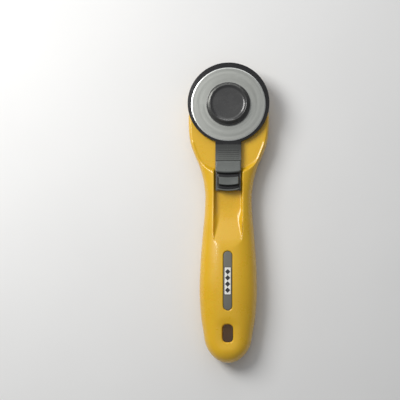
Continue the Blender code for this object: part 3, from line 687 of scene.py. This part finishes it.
def shoulder_z(x, y):
    """Front with the sunken head plane and its sloped, rounded edge."""
    base = front_z(x, y)
    side = np.abs(x) - (half_width(y) - RAMP_INSET)
    below = np.hypot(x, np.minimum(y - RAMP_CENTRE, 0.0)) - RAMP_R
    fade_up = smooth_step((y - RAMP_FADE_Y) / RAMP_FADE_REACH)
    d = np.maximum(np.maximum(side, below) - RAMP_FADE_DROP * fade_up, 0.0)
    to_grip = smooth_step((SHOULDER_Y - y) / SHOULDER_REACH)
    slope = RAMP_SLOPE + RAMP_SLOPE_GAIN * to_grip
    lift = slope * np.where(d < RAMP_START, d * d / (2.0 * RAMP_START), d - 0.5 * RAMP_START)
    return soft_min(base, HEAD_PLANE + lift, RAMP_EDGE + RAMP_EDGE_GAIN * to_grip)


def channel_floor(x, y):
    """Thumb channel's floor, level with the head plane and rising to the grip's surface."""
    t = (CHANNEL_FLAT_END - y) / (CHANNEL_FLAT_END - CHANNEL_END)
    return HEAD_PLANE + (front_z(CHANNEL_FLATNESS * x, y) - HEAD_PLANE) * smooth_step(t)


def hang_distance(x, y):
    return box_distance(x, y, HANG_Y, 0.5 * HANG_W, 0.5 * HANG_L, HANG_CORNER_R)


def edge_fall(distance, radius):
    """How far the surface falls at a distance from an opening whose edge has this radius."""
    return round_over(np.maximum(distance, 0.0), radius)


def detailed_front(x, y):
    """Front surface with its channel, dish and rounded edges."""
    tiny = 1e-4
    top = shoulder_z(x, y)
    half = 0.5 * CHANNEL_W
    floor = soft_min(channel_floor(x, y), top, CHANNEL_BLEND)
    edge_top = shoulder_z(np.full_like(x, half), y)
    edge_floor = np.minimum(channel_floor(np.full_like(x, half), y), edge_top)
    wall = np.maximum(edge_top - edge_floor, 0.0)
    along = (y > CHANNEL_END) & (y < CHANNEL_TOP)
    edge_r = np.minimum(CHANNEL_EDGE_R, 0.6 * wall) + tiny
    outer = top - np.where(along, round_over(np.abs(x) - half, edge_r), 0.0)
    inside = np.maximum(half - np.abs(x), 0.0)
    fillet = round_over(inside, np.minimum(CHANNEL_FILLET_R, 0.95 * wall) + tiny)
    slant = wall * np.clip(1.0 - inside / (0.85 * wall + 0.5), 0.0, 1.0) ** 2
    to_grip = smooth_step((CHANNEL_SLANT_Y - y) / CHANNEL_SLANT_REACH)
    inner = floor + fillet + (slant - fillet) * to_grip
    z = np.where(along & (np.abs(x) < half), np.minimum(inner, top), outer)
    name = box_distance(x, y, 0.5 * (NAME_Y0 + NAME_Y1), 0.5 * NAME_W + GAP,
                        0.5 * (NAME_Y1 - NAME_Y0) + GAP, 0.5 * NAME_W + GAP)
    hang = hang_distance(x, y)
    z = z - edge_fall(name, NAME_EDGE_R) - edge_fall(hang, HANG_EDGE_R)
    return z - HANG_DISH * np.exp(-((np.maximum(hang, 0.0) / HANG_DISH_REACH) ** 2))


def detailed_back(x, y):
    """Back surface with rounded edges round the lever's recess, the hang hole and the screws."""
    recess = box_distance(x, y, 0.5 * (RECESS_Y0 + RECESS_Y1), 0.5 * RECESS_W,
                          0.5 * (RECESS_Y1 - RECESS_Y0), 0.5 * RECESS_W)
    z = back_z(x, y) + edge_fall(recess, RECESS_EDGE_R) + edge_fall(hang_distance(x, y), HANG_EDGE_R)
    for screw_x, screw_y in SHELL_SCREWS:
        z = z + edge_fall(np.hypot(x - screw_x, y - screw_y) - SCREW_SEAT_R, SCREW_SEAT_EDGE_R)
    return z


def side_columns(width, fixed, outer):
    """Places across one side: fixed ones near the middle, then closer together to the rim."""
    inner = min(fixed[-1], 0.62 * width)
    near = np.asarray(fixed) * (inner / fixed[-1])
    angles = np.linspace(0.0, 0.5 * math.pi, outer + 1)[1:]
    far = inner + (width - inner) * np.sin(angles)
    return np.concatenate([near, far])


def shell_solid(name, side, fixed, step):
    """Fine solid of one half of the handle, from its joint plane to its outer surface."""
    quarter = 0.5 * math.pi
    grip = TAIL_TIP + TAIL_ROUND * (1.0 - np.cos(quarter * np.linspace(0.02, 1.0, 34)))
    middle = np.arange(grip[-1] + step, HEAD_CENTRE, step)
    head = HEAD_CENTRE + HEAD_LEN * np.sin(quarter * np.linspace(0.01, 0.975, 46))
    surface = detailed_front if side > 0 else detailed_back
    joint = SEAM_Z + side * 0.5 * GAP
    lip = 0.16
    rings = []
    for y in np.concatenate([grip, middle, head]):
        width = float(half_width(y))
        one = side_columns(width, fixed, 30)
        xs = np.concatenate([-one[::-1], one[1:]])
        row = np.full_like(xs, y)
        z = surface(xs, row)
        limit = joint + side * lip
        z = np.maximum(z, limit) if side > 0 else np.minimum(z, limit)
        pull = 1.0 - min(lip, 0.3 * width) / max(width, 0.01)
        top = np.column_stack([xs, row, z])
        foot = np.array([(xs[-1] * pull, y, joint), (xs[0] * pull, y, joint)])
        rings.append(np.vstack([top, foot]))
    return ring_solid(name, rings)


def skin_strip(name, y0, y1, half, corner, above, below, edge):
    """Round-cornered solid that follows the grip's front at two offsets, its top edge rounded."""
    across, ends, middle = 16, 14, 40
    quarter = 0.5 * math.pi
    ys = list(y0 + corner * (1.0 - np.cos(quarter * np.linspace(0.03, 1.0, ends))))
    ys += list(np.linspace(y0 + corner, y1 - corner, middle)[1:-1])
    ys += list(y1 - corner + corner * np.sin(quarter * np.linspace(0.0, 0.97, ends)))
    rings = []
    for y in ys:
        into_end = max(y0 + corner - y, y - (y1 - corner), 0.0)
        width = max(half - corner + math.sqrt(max(corner * corner - into_end * into_end, 0.0)), 0.1)
        xs = width * np.sin(quarter * np.linspace(-1.0, 1.0, across + 1))
        row = np.full_like(xs, y)
        d = -box_distance(xs, row, 0.5 * (y0 + y1), half, 0.5 * (y1 - y0), corner)
        skin = front_z(xs, row)
        upper = np.column_stack([xs, row, skin + above - edge_fall(d, edge)])
        lower = np.column_stack([xs, row, skin + below])[::-1]
        rings.append(np.vstack([upper, lower]))
    return ring_solid(name, rings)


# ---- handle pieces ----


def column_places(*spans):
    """Places across one side, from (start, end, count) spans, close together at sharp edges."""
    return np.concatenate([np.linspace(*span) for span in spans])


def grip_pockets(z0, roof_at):
    """Cutters that hollow the grip in two rows of pockets, from z0 to a roof."""
    cutters = []
    for row, (low, high) in enumerate(GRIP_POCKET_ROWS):
        middle = 0.5 * (low + high)
        roof = roof_at(GRIP_POCKET_X + GRIP_POCKET_HALF, middle)
        for x in (-GRIP_POCKET_X, GRIP_POCKET_X):
            outline = rounded_rectangle(GRIP_POCKET_HALF, 0.5 * (high - low), middle, 0.8, 3, x)
            cutters.append(prism(f"pocket_{row}_{x}", outline, min(z0, roof), max(z0, roof)))
    return cutters


def hang_cut(z0, z1):
    outline = rounded_rectangle(0.5 * HANG_W, 0.5 * HANG_L, HANG_Y, HANG_CORNER_R)
    return prism("hang_cut", outline, z0, z1)


def build_front_shell():
    step = 0.5
    wall = 2.4
    fixed = column_places(
        (0.0, 2.4, 7), (2.55, 4.2, 12), (4.6, 7.5, 10), (7.65, 8.47, 9), (8.499, 8.501, 2), (8.53, 9.35, 11),
    )
    shell = shell_solid("front_shell_fine", 1, fixed, step)
    below = SEAM_Z - SEAM_OVERLAP
    outline = rounded_rectangle(*RETAINER_POCKET_HALVES, RETAINER_POCKET_Y, 1.0, 4, RETAINER_POCKET_X)
    pocket = prism("retainer_pocket", outline, below, RETAINER_POCKET_TOP)
    slot = prism("floor_slot", slot_outline(FLOOR_SLOT_HALF, *FLOOR_SLOT_YS), below + 1.0, CLEAR_TOP)
    boolean(pocket, slot, "UNION")
    cutters = [pocket]
    half = 0.5 * NAME_W + GAP
    cutters.append(skin_strip("name_cut", NAME_Y0 - GAP, NAME_Y1 + GAP, half, half, 4.0, -1.5, 0.0))
    cutters.append(hang_cut(0.0, CLEAR_TOP))
    cutters.append(prism("bush_bore", circle(BUSH_BORE_R, 0.0, AXIS_Y, 64), below, CLEAR_TOP))
    for x, y in SHELL_SCREWS:
        cutters.append(prism("screw_hole", circle(SCREW_HOLE_R, x, y, 24), below, SHELL_SCREW_TOP + 0.4))
    cutters += grip_pockets(below, lambda x, y: float(front_z(x, y)) - wall)
    boolean(shell, join(cutters, "front_cuts"), "DIFFERENCE")
    finish_piece(shell, YELLOW, "handle", ("front_shell",))


def build_rear_shell():
    step = 0.7
    floor = 2.6
    steps = 28
    fixed = column_places((0.0, 2.4, 5), (2.7, 4.2, 8), (4.8, 6.6, 4), (6.8, 7.5, 8))
    shell = shell_solid("rear_shell_fine", -1, fixed, step)
    above = SEAM_Z + SEAM_OVERLAP
    outline = slot_outline(0.5 * RECESS_W, RECESS_Y0, RECESS_Y1, steps)
    recess = prism("lever_recess", outline, -2.0, RECESS_DEPTH)
    outline = slot_outline(0.5 * WINDOW_W, WINDOW_Y0, RECESS_Y1 - 0.01, steps)
    boolean(recess, prism("lever_window", outline, -1.0, above - 1.0), "UNION")
    half = 0.5 * PLATE_POCKET_W
    arch = slot_outline(half, PLATE_POCKET_Y0, RECESS_Y1 + 0.2, steps)[:steps + 1]
    arch += [(-half, PLATE_POCKET_Y0), (half, PLATE_POCKET_Y0)]
    pocket = prism("plate_pocket", arch, LEDGE_Z, above)
    outline = rounded_rectangle(2.3, 4.0, SPRING_SEAT_Y + 4.0, 0.5, 3)
    boolean(pocket, prism("spring_seat", outline, LEDGE_Z - 0.001, above - 0.5), "UNION")
    boolean(recess, pocket, "UNION")
    cutters = [recess, hang_cut(-5.0, 12.0)]
    seat = [
        (0.0, -2.0), (SCREW_SEAT_R, -2.0), (SCREW_SEAT_R, SCREW_SEAT_Z), (SCREW_HOLE_R, SCREW_SEAT_Z),
        (SCREW_HOLE_R, above), (0.0, above),
    ]
    cutters += [turned("screw_cut", seat, 40, place) for place in SHELL_SCREWS]
    cutters += grip_pockets(above, lambda x, y: floor)
    boolean(shell, join(cutters, "rear_cuts"), "DIFFERENCE")
    finish_piece(shell, YELLOW, "handle", ("rear_shell",))


def build_name_inlay():
    half = 0.5 * NAME_W
    inlay = skin_strip("name_inlay_fine", NAME_Y0, NAME_Y1, half, half, -0.35, -1.2, 0.25)
    half = 0.5 * LABEL_W + GAP
    seat = skin_strip("label_seat", LABEL_Y0 - GAP, LABEL_Y1 + GAP, half, 0.5, 3.0, -0.75, 0.0)
    boolean(inlay, seat, "DIFFERENCE")
    finish_piece(inlay, SLOT_GREY, "handle", ("name_inlay",))


def build_label_plate():
    plate = skin_strip("label_plate_fine", LABEL_Y0, LABEL_Y1, 0.5 * LABEL_W, 0.3, -0.15, -0.6, 0.12)
    finish_piece(plate, LABEL, "handle", ("label_plate",))


def lathe_piece(name, chain, segments, material, body, node):
    """Piece turned about the blade's axis from a chain of (radius, z, fillet) points."""
    obj = turned(name, rounded(chain), segments, (0.0, AXIS_Y))
    finish_piece(obj, material, body, (node,))


def build_shaft_bush():
    top = HEAD_PLANE - GAP
    chain = [
        (4.3, 5.5, 0), (4.0, 5.8, 0.1), (4.0, top - 0.3, 0.1), (4.3, top, 0.1), (5.3, top, 0.15),
        (5.6, top - 0.3, 0.1), (5.6, 6.7, 0.3), (5.9, 6.5, 0.1), (8.2, 6.5, 0.25), (8.2, 5.5, 0.25),
        (4.31, 5.5, 0),
    ]
    lathe_piece("shaft_bush_fine", chain, 72, PLAIN_STEEL, "handle", "shaft_bush")


def cross_recess(x, y, z0, z1, size):
    """Cutter for a cross-shaped driver recess, narrower towards its end at z1."""
    bars = []
    for along_x in (True, False):
        rings = []
        for z, long, thick in ((z0, size, 0.3 * size), (z1, 0.35 * size, 0.14 * size)):
            a, b = (long, thick) if along_x else (thick, long)
            rings.append([(x - a, y - b, z), (x + a, y - b, z), (x + a, y + b, z), (x - a, y + b, z)])
        bars.append(ring_solid("bar", rings))
    boolean(bars[0], bars[1], "UNION")
    return bars[0]


def thread_ridges(root_r, crest_r, z, stop, ridge, pitch):
    """Profile of a screw's thread, drawn as a row of ridges."""
    points = []
    while z < stop:
        points += [(root_r, z, 0), (crest_r, z + 0.5 * ridge, 0), (root_r, z + ridge, 0)]
        z += pitch
    return points


def build_shell_screw(index, x, y):
    """Pan-head self-tapping screw with thread ridges and a cross recess."""
    head_low, head_top, root_r = 1.0, 2.4, 1.0
    chain = [
        (0.0, head_low, 0), (1.7, head_low, 0.5), (2.5, head_low + 0.7, 0.3), (2.5, head_top, 0.1),
        (1.3, head_top, 0.15),
    ]
    chain += thread_ridges(root_r, 1.38, 3.0, SHELL_SCREW_TOP - 2.2, 0.8, 0.9)
    chain += [(root_r, SHELL_SCREW_TOP - 1.3, 0), (0.0, SHELL_SCREW_TOP, 0)]
    screw = turned(f"shell_screw_{index}_fine", rounded(chain), 40, (x, y))
    boolean(screw, cross_recess(x, y, head_low - 0.2, head_low + 1.1, 1.3), "DIFFERENCE")
    finish_piece(screw, PLAIN_STEEL, "handle", (f"shell_screw_{index}",))


def build_lever_spring():
    """Compression spring, drawn here at one fixed length; the real one shortens as the lever is drawn back.
    """
    turns = 6.5
    coil_r = 1.5
    wire_r = 0.25
    axis_z = 5.85
    closed = 0.35
    low, high = node_box("lever_spring")
    y0 = low[1] + wire_r
    y1 = high[1] - wire_r
    count = int(turns * 28)
    sides = 12
    around = np.linspace(0.0, 2.0 * math.pi, sides, endpoint=False)
    rings = []
    for i in range(count + 1):
        t = i / count
        angle = 2.0 * math.pi * turns * t
        squeeze = 0.5 - 0.5 * math.cos(math.pi * t)
        y = y0 + (y1 - y0) * (closed * squeeze + (1.0 - closed) * t)
        radius = coil_r + wire_r * np.cos(around)
        rings.append(np.column_stack([
            radius * math.cos(angle), y + wire_r * np.sin(around), axis_z + radius * math.sin(angle),
        ]))
    spring = ring_solid("lever_spring_fine", rings)
    finish_piece(spring, SPRING_STEEL, "handle", ("lever_spring",), 60.0)
    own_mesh(spring)


# ---- guard pieces ----


TONGUE_HALF = 7.8
TAIL_HALF = 7.5
TAIL_TOP = 15.2
TAIL_STEP_YS = (24.5, 23.5)
TONGUE_RIBS = 5
TONGUE_RIB_PITCH = 1.25
TONGUE_RIB_CURVE = 0.012


def tongue_ribs(first_y):
    """Fine raised ribs across the guard's tongue, bowed towards the disc at their ends."""
    ribs = []
    for i in range(TONGUE_RIBS):
        y = first_y + TONGUE_RIB_PITCH * i
        rings = []
        for height, long, thick in ((0.0, 6.4, 0.34), (0.14, 6.3, 0.26), (0.18, 6.1, 0.12)):
            corners = rounded_rectangle(long, thick, y, 0.8 * thick, 3)
            rings.append([(a, b + TONGUE_RIB_CURVE * a * a, GUARD_HIGH[2] + height) for a, b in corners])
        rings.insert(0, [(a, b, GUARD_HIGH[2] - 0.3) for a, b, _ in rings[0]])
        ribs.append(ring_solid("rib", rings))
    return join(ribs, "ribs")


def build_blade_guard():
    """Disc with a rounded rim, its long pin slot, and the tail that runs in the channel."""
    half = TONGUE_HALF
    join_angle = math.asin(half / GUARD_R)
    steps = 220
    pad_head = PAD_HIGH[1]
    outline = []
    for i in range(steps + 1):
        angle = -0.5 * math.pi + join_angle + (2.0 * math.pi - 2.0 * join_angle) * i / steps
        outline.append((GUARD_R * math.cos(angle), GUARD_CENTRE + GUARD_R * math.sin(angle)))
    outline += [(-half, pad_head + GAP), (half, pad_head + GAP)]
    guard = prism("blade_guard_fine", outline, GUARD_LOW[2], GUARD_HIGH[2])
    wide, narrow = TAIL_STEP_YS
    side = [(half, pad_head + 3.0), (half, wide), (TAIL_HALF, narrow), (TAIL_HALF, GUARD_LOW[1])]
    tail = prism("tail", [(-x, y) for x, y in side] + side[::-1], GUARD_LOW[2], TAIL_TOP)
    boolean(guard, tail, "UNION")
    low_hole, high_hole = RETAINER_SCREW_YS
    cuts = [
        prism("pin_slot", slot_outline(4.5, AXIS_Y - 4.5, AXIS_Y + 14.9), 8.0, 20.0),
        prism("hole", circle(RETAINER_HOLE_R, 0.0, low_hole, 24), 8.0, 20.0),
        prism("hole", circle(RETAINER_HOLE_R, 0.0, high_hole, 24), 8.0, GUARD_HIGH[2] - 0.5),
    ]
    boolean(guard, join(cuts, "guard_cuts"), "DIFFERENCE")
    bevel(guard, 0.7, 5, 50.0)
    bake_modifiers(guard)
    boolean(guard, tongue_ribs(pad_head + 1.2), "UNION")
    finish_piece(guard, GUARD_BLACK, "guard", ("blade_guard",), 40.0)


PAD_STEPS = (
    (10.9, 17.6), (11.05, 18.2), (11.5, 18.45), (12.65, 18.45), (12.85, 17.6), (13.1, 16.1), (13.9, 15.9),
    (20.0, 15.9), (21.9, 15.8), (22.4, 16.3), (22.8, 17.8), (23.5, 18.3), (24.8, 17.9), (27.2, 17.1),
    (28.4, 16.8), (29.4, 16.5), (30.2, 16.15),
)
PAD_HALF = 7.7
PAD_NARROWING = 0.9
PAD_EDGE_R = 0.9
PAD_LIP = 0.9
PAD_BOWED_V = 24.0
PAD_RIB_DEPTH = 0.05
PAD_RIB_PITCH = 1.25
BLOCK_X = 0.35
BLOCK_V = 17.65
BLOCK_RISE = 2.9
BLOCK_TOP_V = 21.4


def pad_height(x, v, half):
    """Height of the thumb pad; v runs down the pad with its steps curved across."""
    z = spline(PAD_STEPS, v)
    block = box_distance(x - BLOCK_X, v, BLOCK_V, 6.3, 2.75, 0.9)
    rise = (BLOCK_RISE + 0.06 * (BLOCK_V - v)) * smooth_step((0.1 - block) / 0.7)
    dish = 0.22 * np.exp(-((x / 4.2) ** 2) - ((v - BLOCK_V) / 2.0) ** 2)
    z = z + np.where(v < BLOCK_TOP_V, rise, 0.0) * smooth_step((BLOCK_TOP_V - v) / 0.4) - dish
    ribs = PAD_RIB_DEPTH * np.sin(2.0 * math.pi * v / PAD_RIB_PITCH)
    ribs = ribs * smooth_step((v - 25.4) / 0.8) * smooth_step((29.9 - v) / 0.5)
    return z + ribs - round_over(half - np.abs(x), PAD_EDGE_R)


def build_thumb_slide():
    """Stepped thumb pad: a sloped ribbed face, a raised block in a recess, and a low lip."""
    bottom = PAD_LOW[2]
    low_y = PAD_LOW[1] - PAD_LIP
    high_y = PAD_HIGH[1]
    rows = 150
    columns = 56
    rings = []
    for i in range(rows + 1):
        v = high_y + (low_y - high_y) * i / rows
        half = PAD_HALF - PAD_NARROWING * float(smooth_step((23.7 - v) / 1.2))
        xs = half * np.sin(0.5 * math.pi * np.linspace(-1.0, 1.0, columns + 1))
        share = min(max((high_y - v) / (high_y - PAD_BOWED_V), 0.0), 1.0)
        bow = 0.7 + 0.6 * float(smooth_step((18.0 - v) / 4.5))
        y = v + bow * (xs / 7.5) ** 2 * share
        z = np.maximum(pad_height(xs, np.full_like(xs, v), half), bottom + 0.05)
        top = np.column_stack([xs, y, z])
        foot = np.column_stack([xs, y, np.full_like(xs, bottom)])[::-1]
        rings.append(np.vstack([top, foot]))
    pad = ring_solid("thumb_slide_fine", rings)
    hole = circle(RETAINER_HOLE_R, 0.0, RETAINER_SCREW_YS[0], 24)
    boolean(pad, prism("hole", hole, 12.0, 16.9), "DIFFERENCE")
    finish_piece(pad, DARK_GREY, "guard", ("thumb_slide",), 42.0)


def build_retainer_screw(index, y, top):
    root_r = 0.85
    chain = [(0.0, 8.5, 0), (1.3, 8.5, 0.3), (1.9, 8.9, 0.15), (1.9, 9.6, 0), (0.95, 9.6, 0.1)]
    chain += thread_ridges(root_r, 1.1, 10.2, top - 1.4, 0.6, 0.7)
    chain += [(root_r, top - 0.6, 0), (0.0, top, 0)]
    screw = turned(f"retainer_screw_{index}_fine", rounded(chain), 32, (0.0, y))
    boolean(screw, cross_recess(0.0, y, 8.3, 9.2, 0.95), "DIFFERENCE")
    finish_piece(screw, PLAIN_STEEL, "guard", (f"retainer_screw_{index}",))


# ---- release lever pieces ----


def build_release_lever():
    """Slider on the back: ribbed finger pad, an opening round the pin, two short bosses."""
    half = 0.5 * (LEVER_HIGH[0] - LEVER_LOW[0])
    low, high = LEVER_LOW[1], LEVER_HIGH[1]
    top = RECESS_DEPTH - GAP
    opening_half = 4.2
    groove_half = 4.6
    lever = prism("release_lever_fine", slot_outline(half, low, high, 28), LEVER_LOW[2], top)
    opening = slot_outline(opening_half, AXIS_Y - opening_half, AXIS_Y + 9.2, 24)
    boolean(lever, prism("opening", opening, -2.0, 8.0), "DIFFERENCE")
    bevel(lever, 0.35, 4, 50.0)
    bake_modifiers(lever)
    section = ((0.0, -1.0), (1.2, -1.0), (1.2, 0.55), (0.95, 0.9), (0.25, 0.9), (0.0, 0.55))
    grooves = []
    for i in range(5):
        y = low + 3.6 + 2.3 * i
        rings = [[(x, y + a, b) for a, b in section] for x in (-groove_half, groove_half)]
        grooves.append(ring_solid("groove", rings))
    boolean(lever, join(grooves, "grooves"), "DIFFERENCE")
    bosses = [prism("boss", circle(2.6, 0.0, y, 40), top - 0.8, LEDGE_Z) for y in RIVET_YS]
    boolean(lever, join(bosses, "bosses"), "UNION")
    holes = [prism("hole", circle(1.2, 0.0, y, 24), 1.5, 8.0) for y in RIVET_YS]
    boolean(lever, join(holes, "holes"), "DIFFERENCE")
    finish_piece(lever, BLACK, "lever", ("release_lever",), 35.0)


def build_lever_rivet(index, y):
    chain = [
        (0.0, 1.8, 0), (0.9, 1.8, 0.2), (0.9, 5.5, 0), (2.0, 5.5, 0.1), (2.0, 5.9, 0.3), (1.3, 6.5, 0.4),
        (0.0, 6.6, 0),
    ]
    rivet = turned(f"lever_rivet_{index}_fine", rounded(chain), 40, (0.0, y))
    finish_piece(rivet, PLAIN_STEEL, "lever", (f"lever_rivet_{index}",))


# ---- blade and pin ----


def build_blade():
    z0, z1 = BLADE_LOW[2], BLADE_HIGH[2]
    middle = 0.5 * (z0 + z1)
    flat_r = BLADE_R - 0.7
    bore_r = 4.0
    chamfer = 0.04
    profile = [
        (bore_r, z0 + chamfer), (bore_r, z1 - chamfer), (bore_r + chamfer, z1), (flat_r, z1),
        (flat_r + 0.25, z1 - 0.02), (BLADE_R - 0.05, middle + 0.015), (BLADE_R, middle),
        (BLADE_R - 0.05, middle - 0.015), (flat_r + 0.25, z0 + 0.02), (flat_r, z0), (bore_r + chamfer, z0),
    ]
    obj = turned("blade_fine", profile, 288, (0.0, AXIS_Y))
    finish_piece(obj, BLADE_STEEL, "blade", ("blade",), 2.0)


def build_pin_cap():
    """Dished cap with a narrow raised rim, a sloped side and a recess for the washer below."""
    top = CAP_HIGH[2]
    base = CAP_LOW[2]
    chain = [
        (0.0, 19.9, 0), (9.5, 20.02, 1.1), (10.75, top - 0.12, 0.3), (11.0, top, 0.12),
        (11.35, top - 0.18, 0.3), (12.35, 18.6, 0.4), (12.7, 18.15, 0.4), (13.2, 17.95, 0.15),
        (13.3, 17.8, 0.1), (13.3, base + 0.1, 0.1), (13.2, base, 0.1), (8.4, base, 0.1),
        (8.4, 18.3, 0.1), (2.7, 18.3, 0.05), (2.7, 19.2, 0.1), (0.0, 19.2, 0),
    ]
    lathe_piece("pin_cap_fine", chain, 192, CAP_GREY, "pin", "pin_cap")


def build_pin_sleeve():
    low, high = node_box("pin_sleeve")
    chain = [
        (2.6, low[2], 0), (2.6, high[2], 0), (3.6, high[2], 0.1), (3.85, high[2] - 0.25, 0.1),
        (3.85, low[2] + 0.4, 0.15), (3.45, low[2], 0.1), (2.61, low[2], 0),
    ]
    lathe_piece("pin_sleeve_fine", chain, 96, BLACK, "pin", "pin_sleeve")


def build_pin_core():
    low, high = node_box("pin_core")
    z0 = low[2]
    chain = [
        (0.0, z0 + 0.25, 0), (1.1, z0 + 0.25, 0.1), (1.4, z0, 0.1), (3.0, z0, 0.3), (3.7, z0 + 0.7, 0.4),
        (3.7, 3.8, 0.15), (2.3, 3.8, 0.2), (2.3, high[2] - 0.4, 0.1), (1.9, high[2], 0.1),
        (0.0, high[2], 0),
    ]
    lathe_piece("pin_core_fine", chain, 96, PLAIN_STEEL, "pin", "pin_core")


def build_tension_washer():
    """Waved spring washer between the cap and the blade."""
    segments = 144
    waves = 3.0
    wave_height = 0.3
    section = (
        (4.4, 0.05), (4.45, 0.0), (7.85, 0.0), (7.9, 0.05),
        (7.9, 0.25), (7.85, 0.3), (4.45, 0.3), (4.4, 0.25),
    )
    verts = []
    for i in range(segments):
        angle = 2.0 * math.pi * i / segments
        low = 17.3 + wave_height * math.cos(waves * angle)
        for radius, z in section:
            verts.append((radius * math.cos(angle), AXIS_Y + radius * math.sin(angle), low + z))
    faces = []
    corners = len(section)
    for i in range(segments):
        a = i * corners
        b = ((i + 1) % segments) * corners
        for k in range(corners):
            j = (k + 1) % corners
            faces.append((a + k, a + j, b + j, b + k))
    washer = closed_mesh("tension_washer_fine", verts, faces)
    finish_piece(washer, SPRING_STEEL, "pin", ("tension_washer",), 50.0)


def refine_cad_nodes():
    """Hidden plates keep their CAD shape, with softened edges and a real finish."""
    looks = {
        "guard_detent_spring": (SPRING_STEEL, 0.05),
        "slide_retainer": (BLACK, 0.15),
        "lock_plate": (PLAIN_STEEL, 0.12),
    }
    for node, (material, width) in looks.items():
        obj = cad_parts[node]
        obj.data.materials.clear()
        obj.data.materials.append(material)
        bevel(obj, width, 2, 40.0)


# ---- floor, light and camera ----


def build_floor():
    size = 1500.0
    corners = ((-size, -size), (size, -size), (size, size), (-size, size))
    rings = [[(x, y, z) for x, y in corners] for z in (-3.0, -0.05)]
    floor = ring_solid("floor", rings)
    floor.data.materials.append(floor_finish())


def area_light(name, place, target, size, power, colour):
    data = bpy.data.lights.new(name, "AREA")
    data.shape = "RECTANGLE"
    data.size, data.size_y = (side * MM for side in size)
    data.energy = power
    data.color = colour
    light = bpy.data.objects.new(name, data)
    light.location = [value * MM for value in place]
    aim = Vector([(b - a) * MM for a, b in zip(place, target)])
    light.rotation_euler = aim.to_track_quat("-Z", "Y").to_euler()
    bpy.context.scene.collection.objects.link(light)


def build_lights():
    middle = (0.0, 10.0, 15.0)
    area_light("key_light", (-330.0, 230.0, 430.0), middle, (250.0, 320.0), 2.75, (1.0, 0.99, 0.97))
    area_light("back_light", (-60.0, 720.0, 640.0), middle, (900.0, 520.0), 1.5, (1.0, 1.0, 1.0))
    area_light("top_light", (0.0, 100.0, 900.0), middle, (900.0, 900.0), 0.7, (0.98, 0.99, 1.0))
    area_light("far_strip", (60.0, 640.0, 170.0), middle, (520.0, 40.0), 0.3, (1.0, 1.0, 1.0))
    world = bpy.data.worlds.new("studio")
    world.use_nodes = True
    background = world.node_tree.nodes["Background"]
    background.inputs["Color"].default_value = (0.94, 0.96, 1.0, 1.0)
    background.inputs["Strength"].default_value = 0.23
    bpy.context.scene.world = world


CAMERA_PLACE = (20.0, -60.0, 665.0)
CAMERA_TARGET = (-16.96, 6.65, 15.0)
CAMERA_ROLL = math.radians(0.34)
CAMERA_LENS = 97.85


def build_camera():
    data = bpy.data.cameras.new("camera")
    data.sensor_width = 36.0
    data.lens = CAMERA_LENS
    data.clip_start = 0.01
    data.clip_end = 10.0
    camera = bpy.data.objects.new("camera", data)
    camera.location = [value * MM for value in CAMERA_PLACE]
    back = (Vector(CAMERA_PLACE) - Vector(CAMERA_TARGET)).normalized()
    right = Vector((0.0, 1.0, 0.0)).cross(back).normalized()
    right.rotate(Matrix.Rotation(CAMERA_ROLL, 3, back))
    up = back.cross(right)
    camera.rotation_euler = Matrix((right, up, back)).transposed().to_euler()
    bpy.context.scene.collection.objects.link(camera)
    bpy.context.scene.camera = camera


build_floor()
build_lights()
build_camera()
bpy.context.scene.view_settings.view_transform = "Standard"

build_front_shell()
build_rear_shell()
build_name_inlay()
build_label_plate()
build_shaft_bush()
build_lever_spring()
for screw, (screw_x, screw_y) in enumerate(SHELL_SCREWS, 1):
    build_shell_screw(screw, screw_x, screw_y)

build_blade_guard()
build_thumb_slide()
build_retainer_screw(1, RETAINER_SCREW_YS[0], 16.6)
build_retainer_screw(2, RETAINER_SCREW_YS[1], GUARD_HIGH[2] - 0.8)

build_release_lever()
for rivet, rivet_y in enumerate(RIVET_YS, 1):
    build_lever_rivet(rivet, rivet_y)

build_blade()
build_pin_cap()
build_pin_sleeve()
build_pin_core()
build_tension_washer()
refine_cad_nodes()
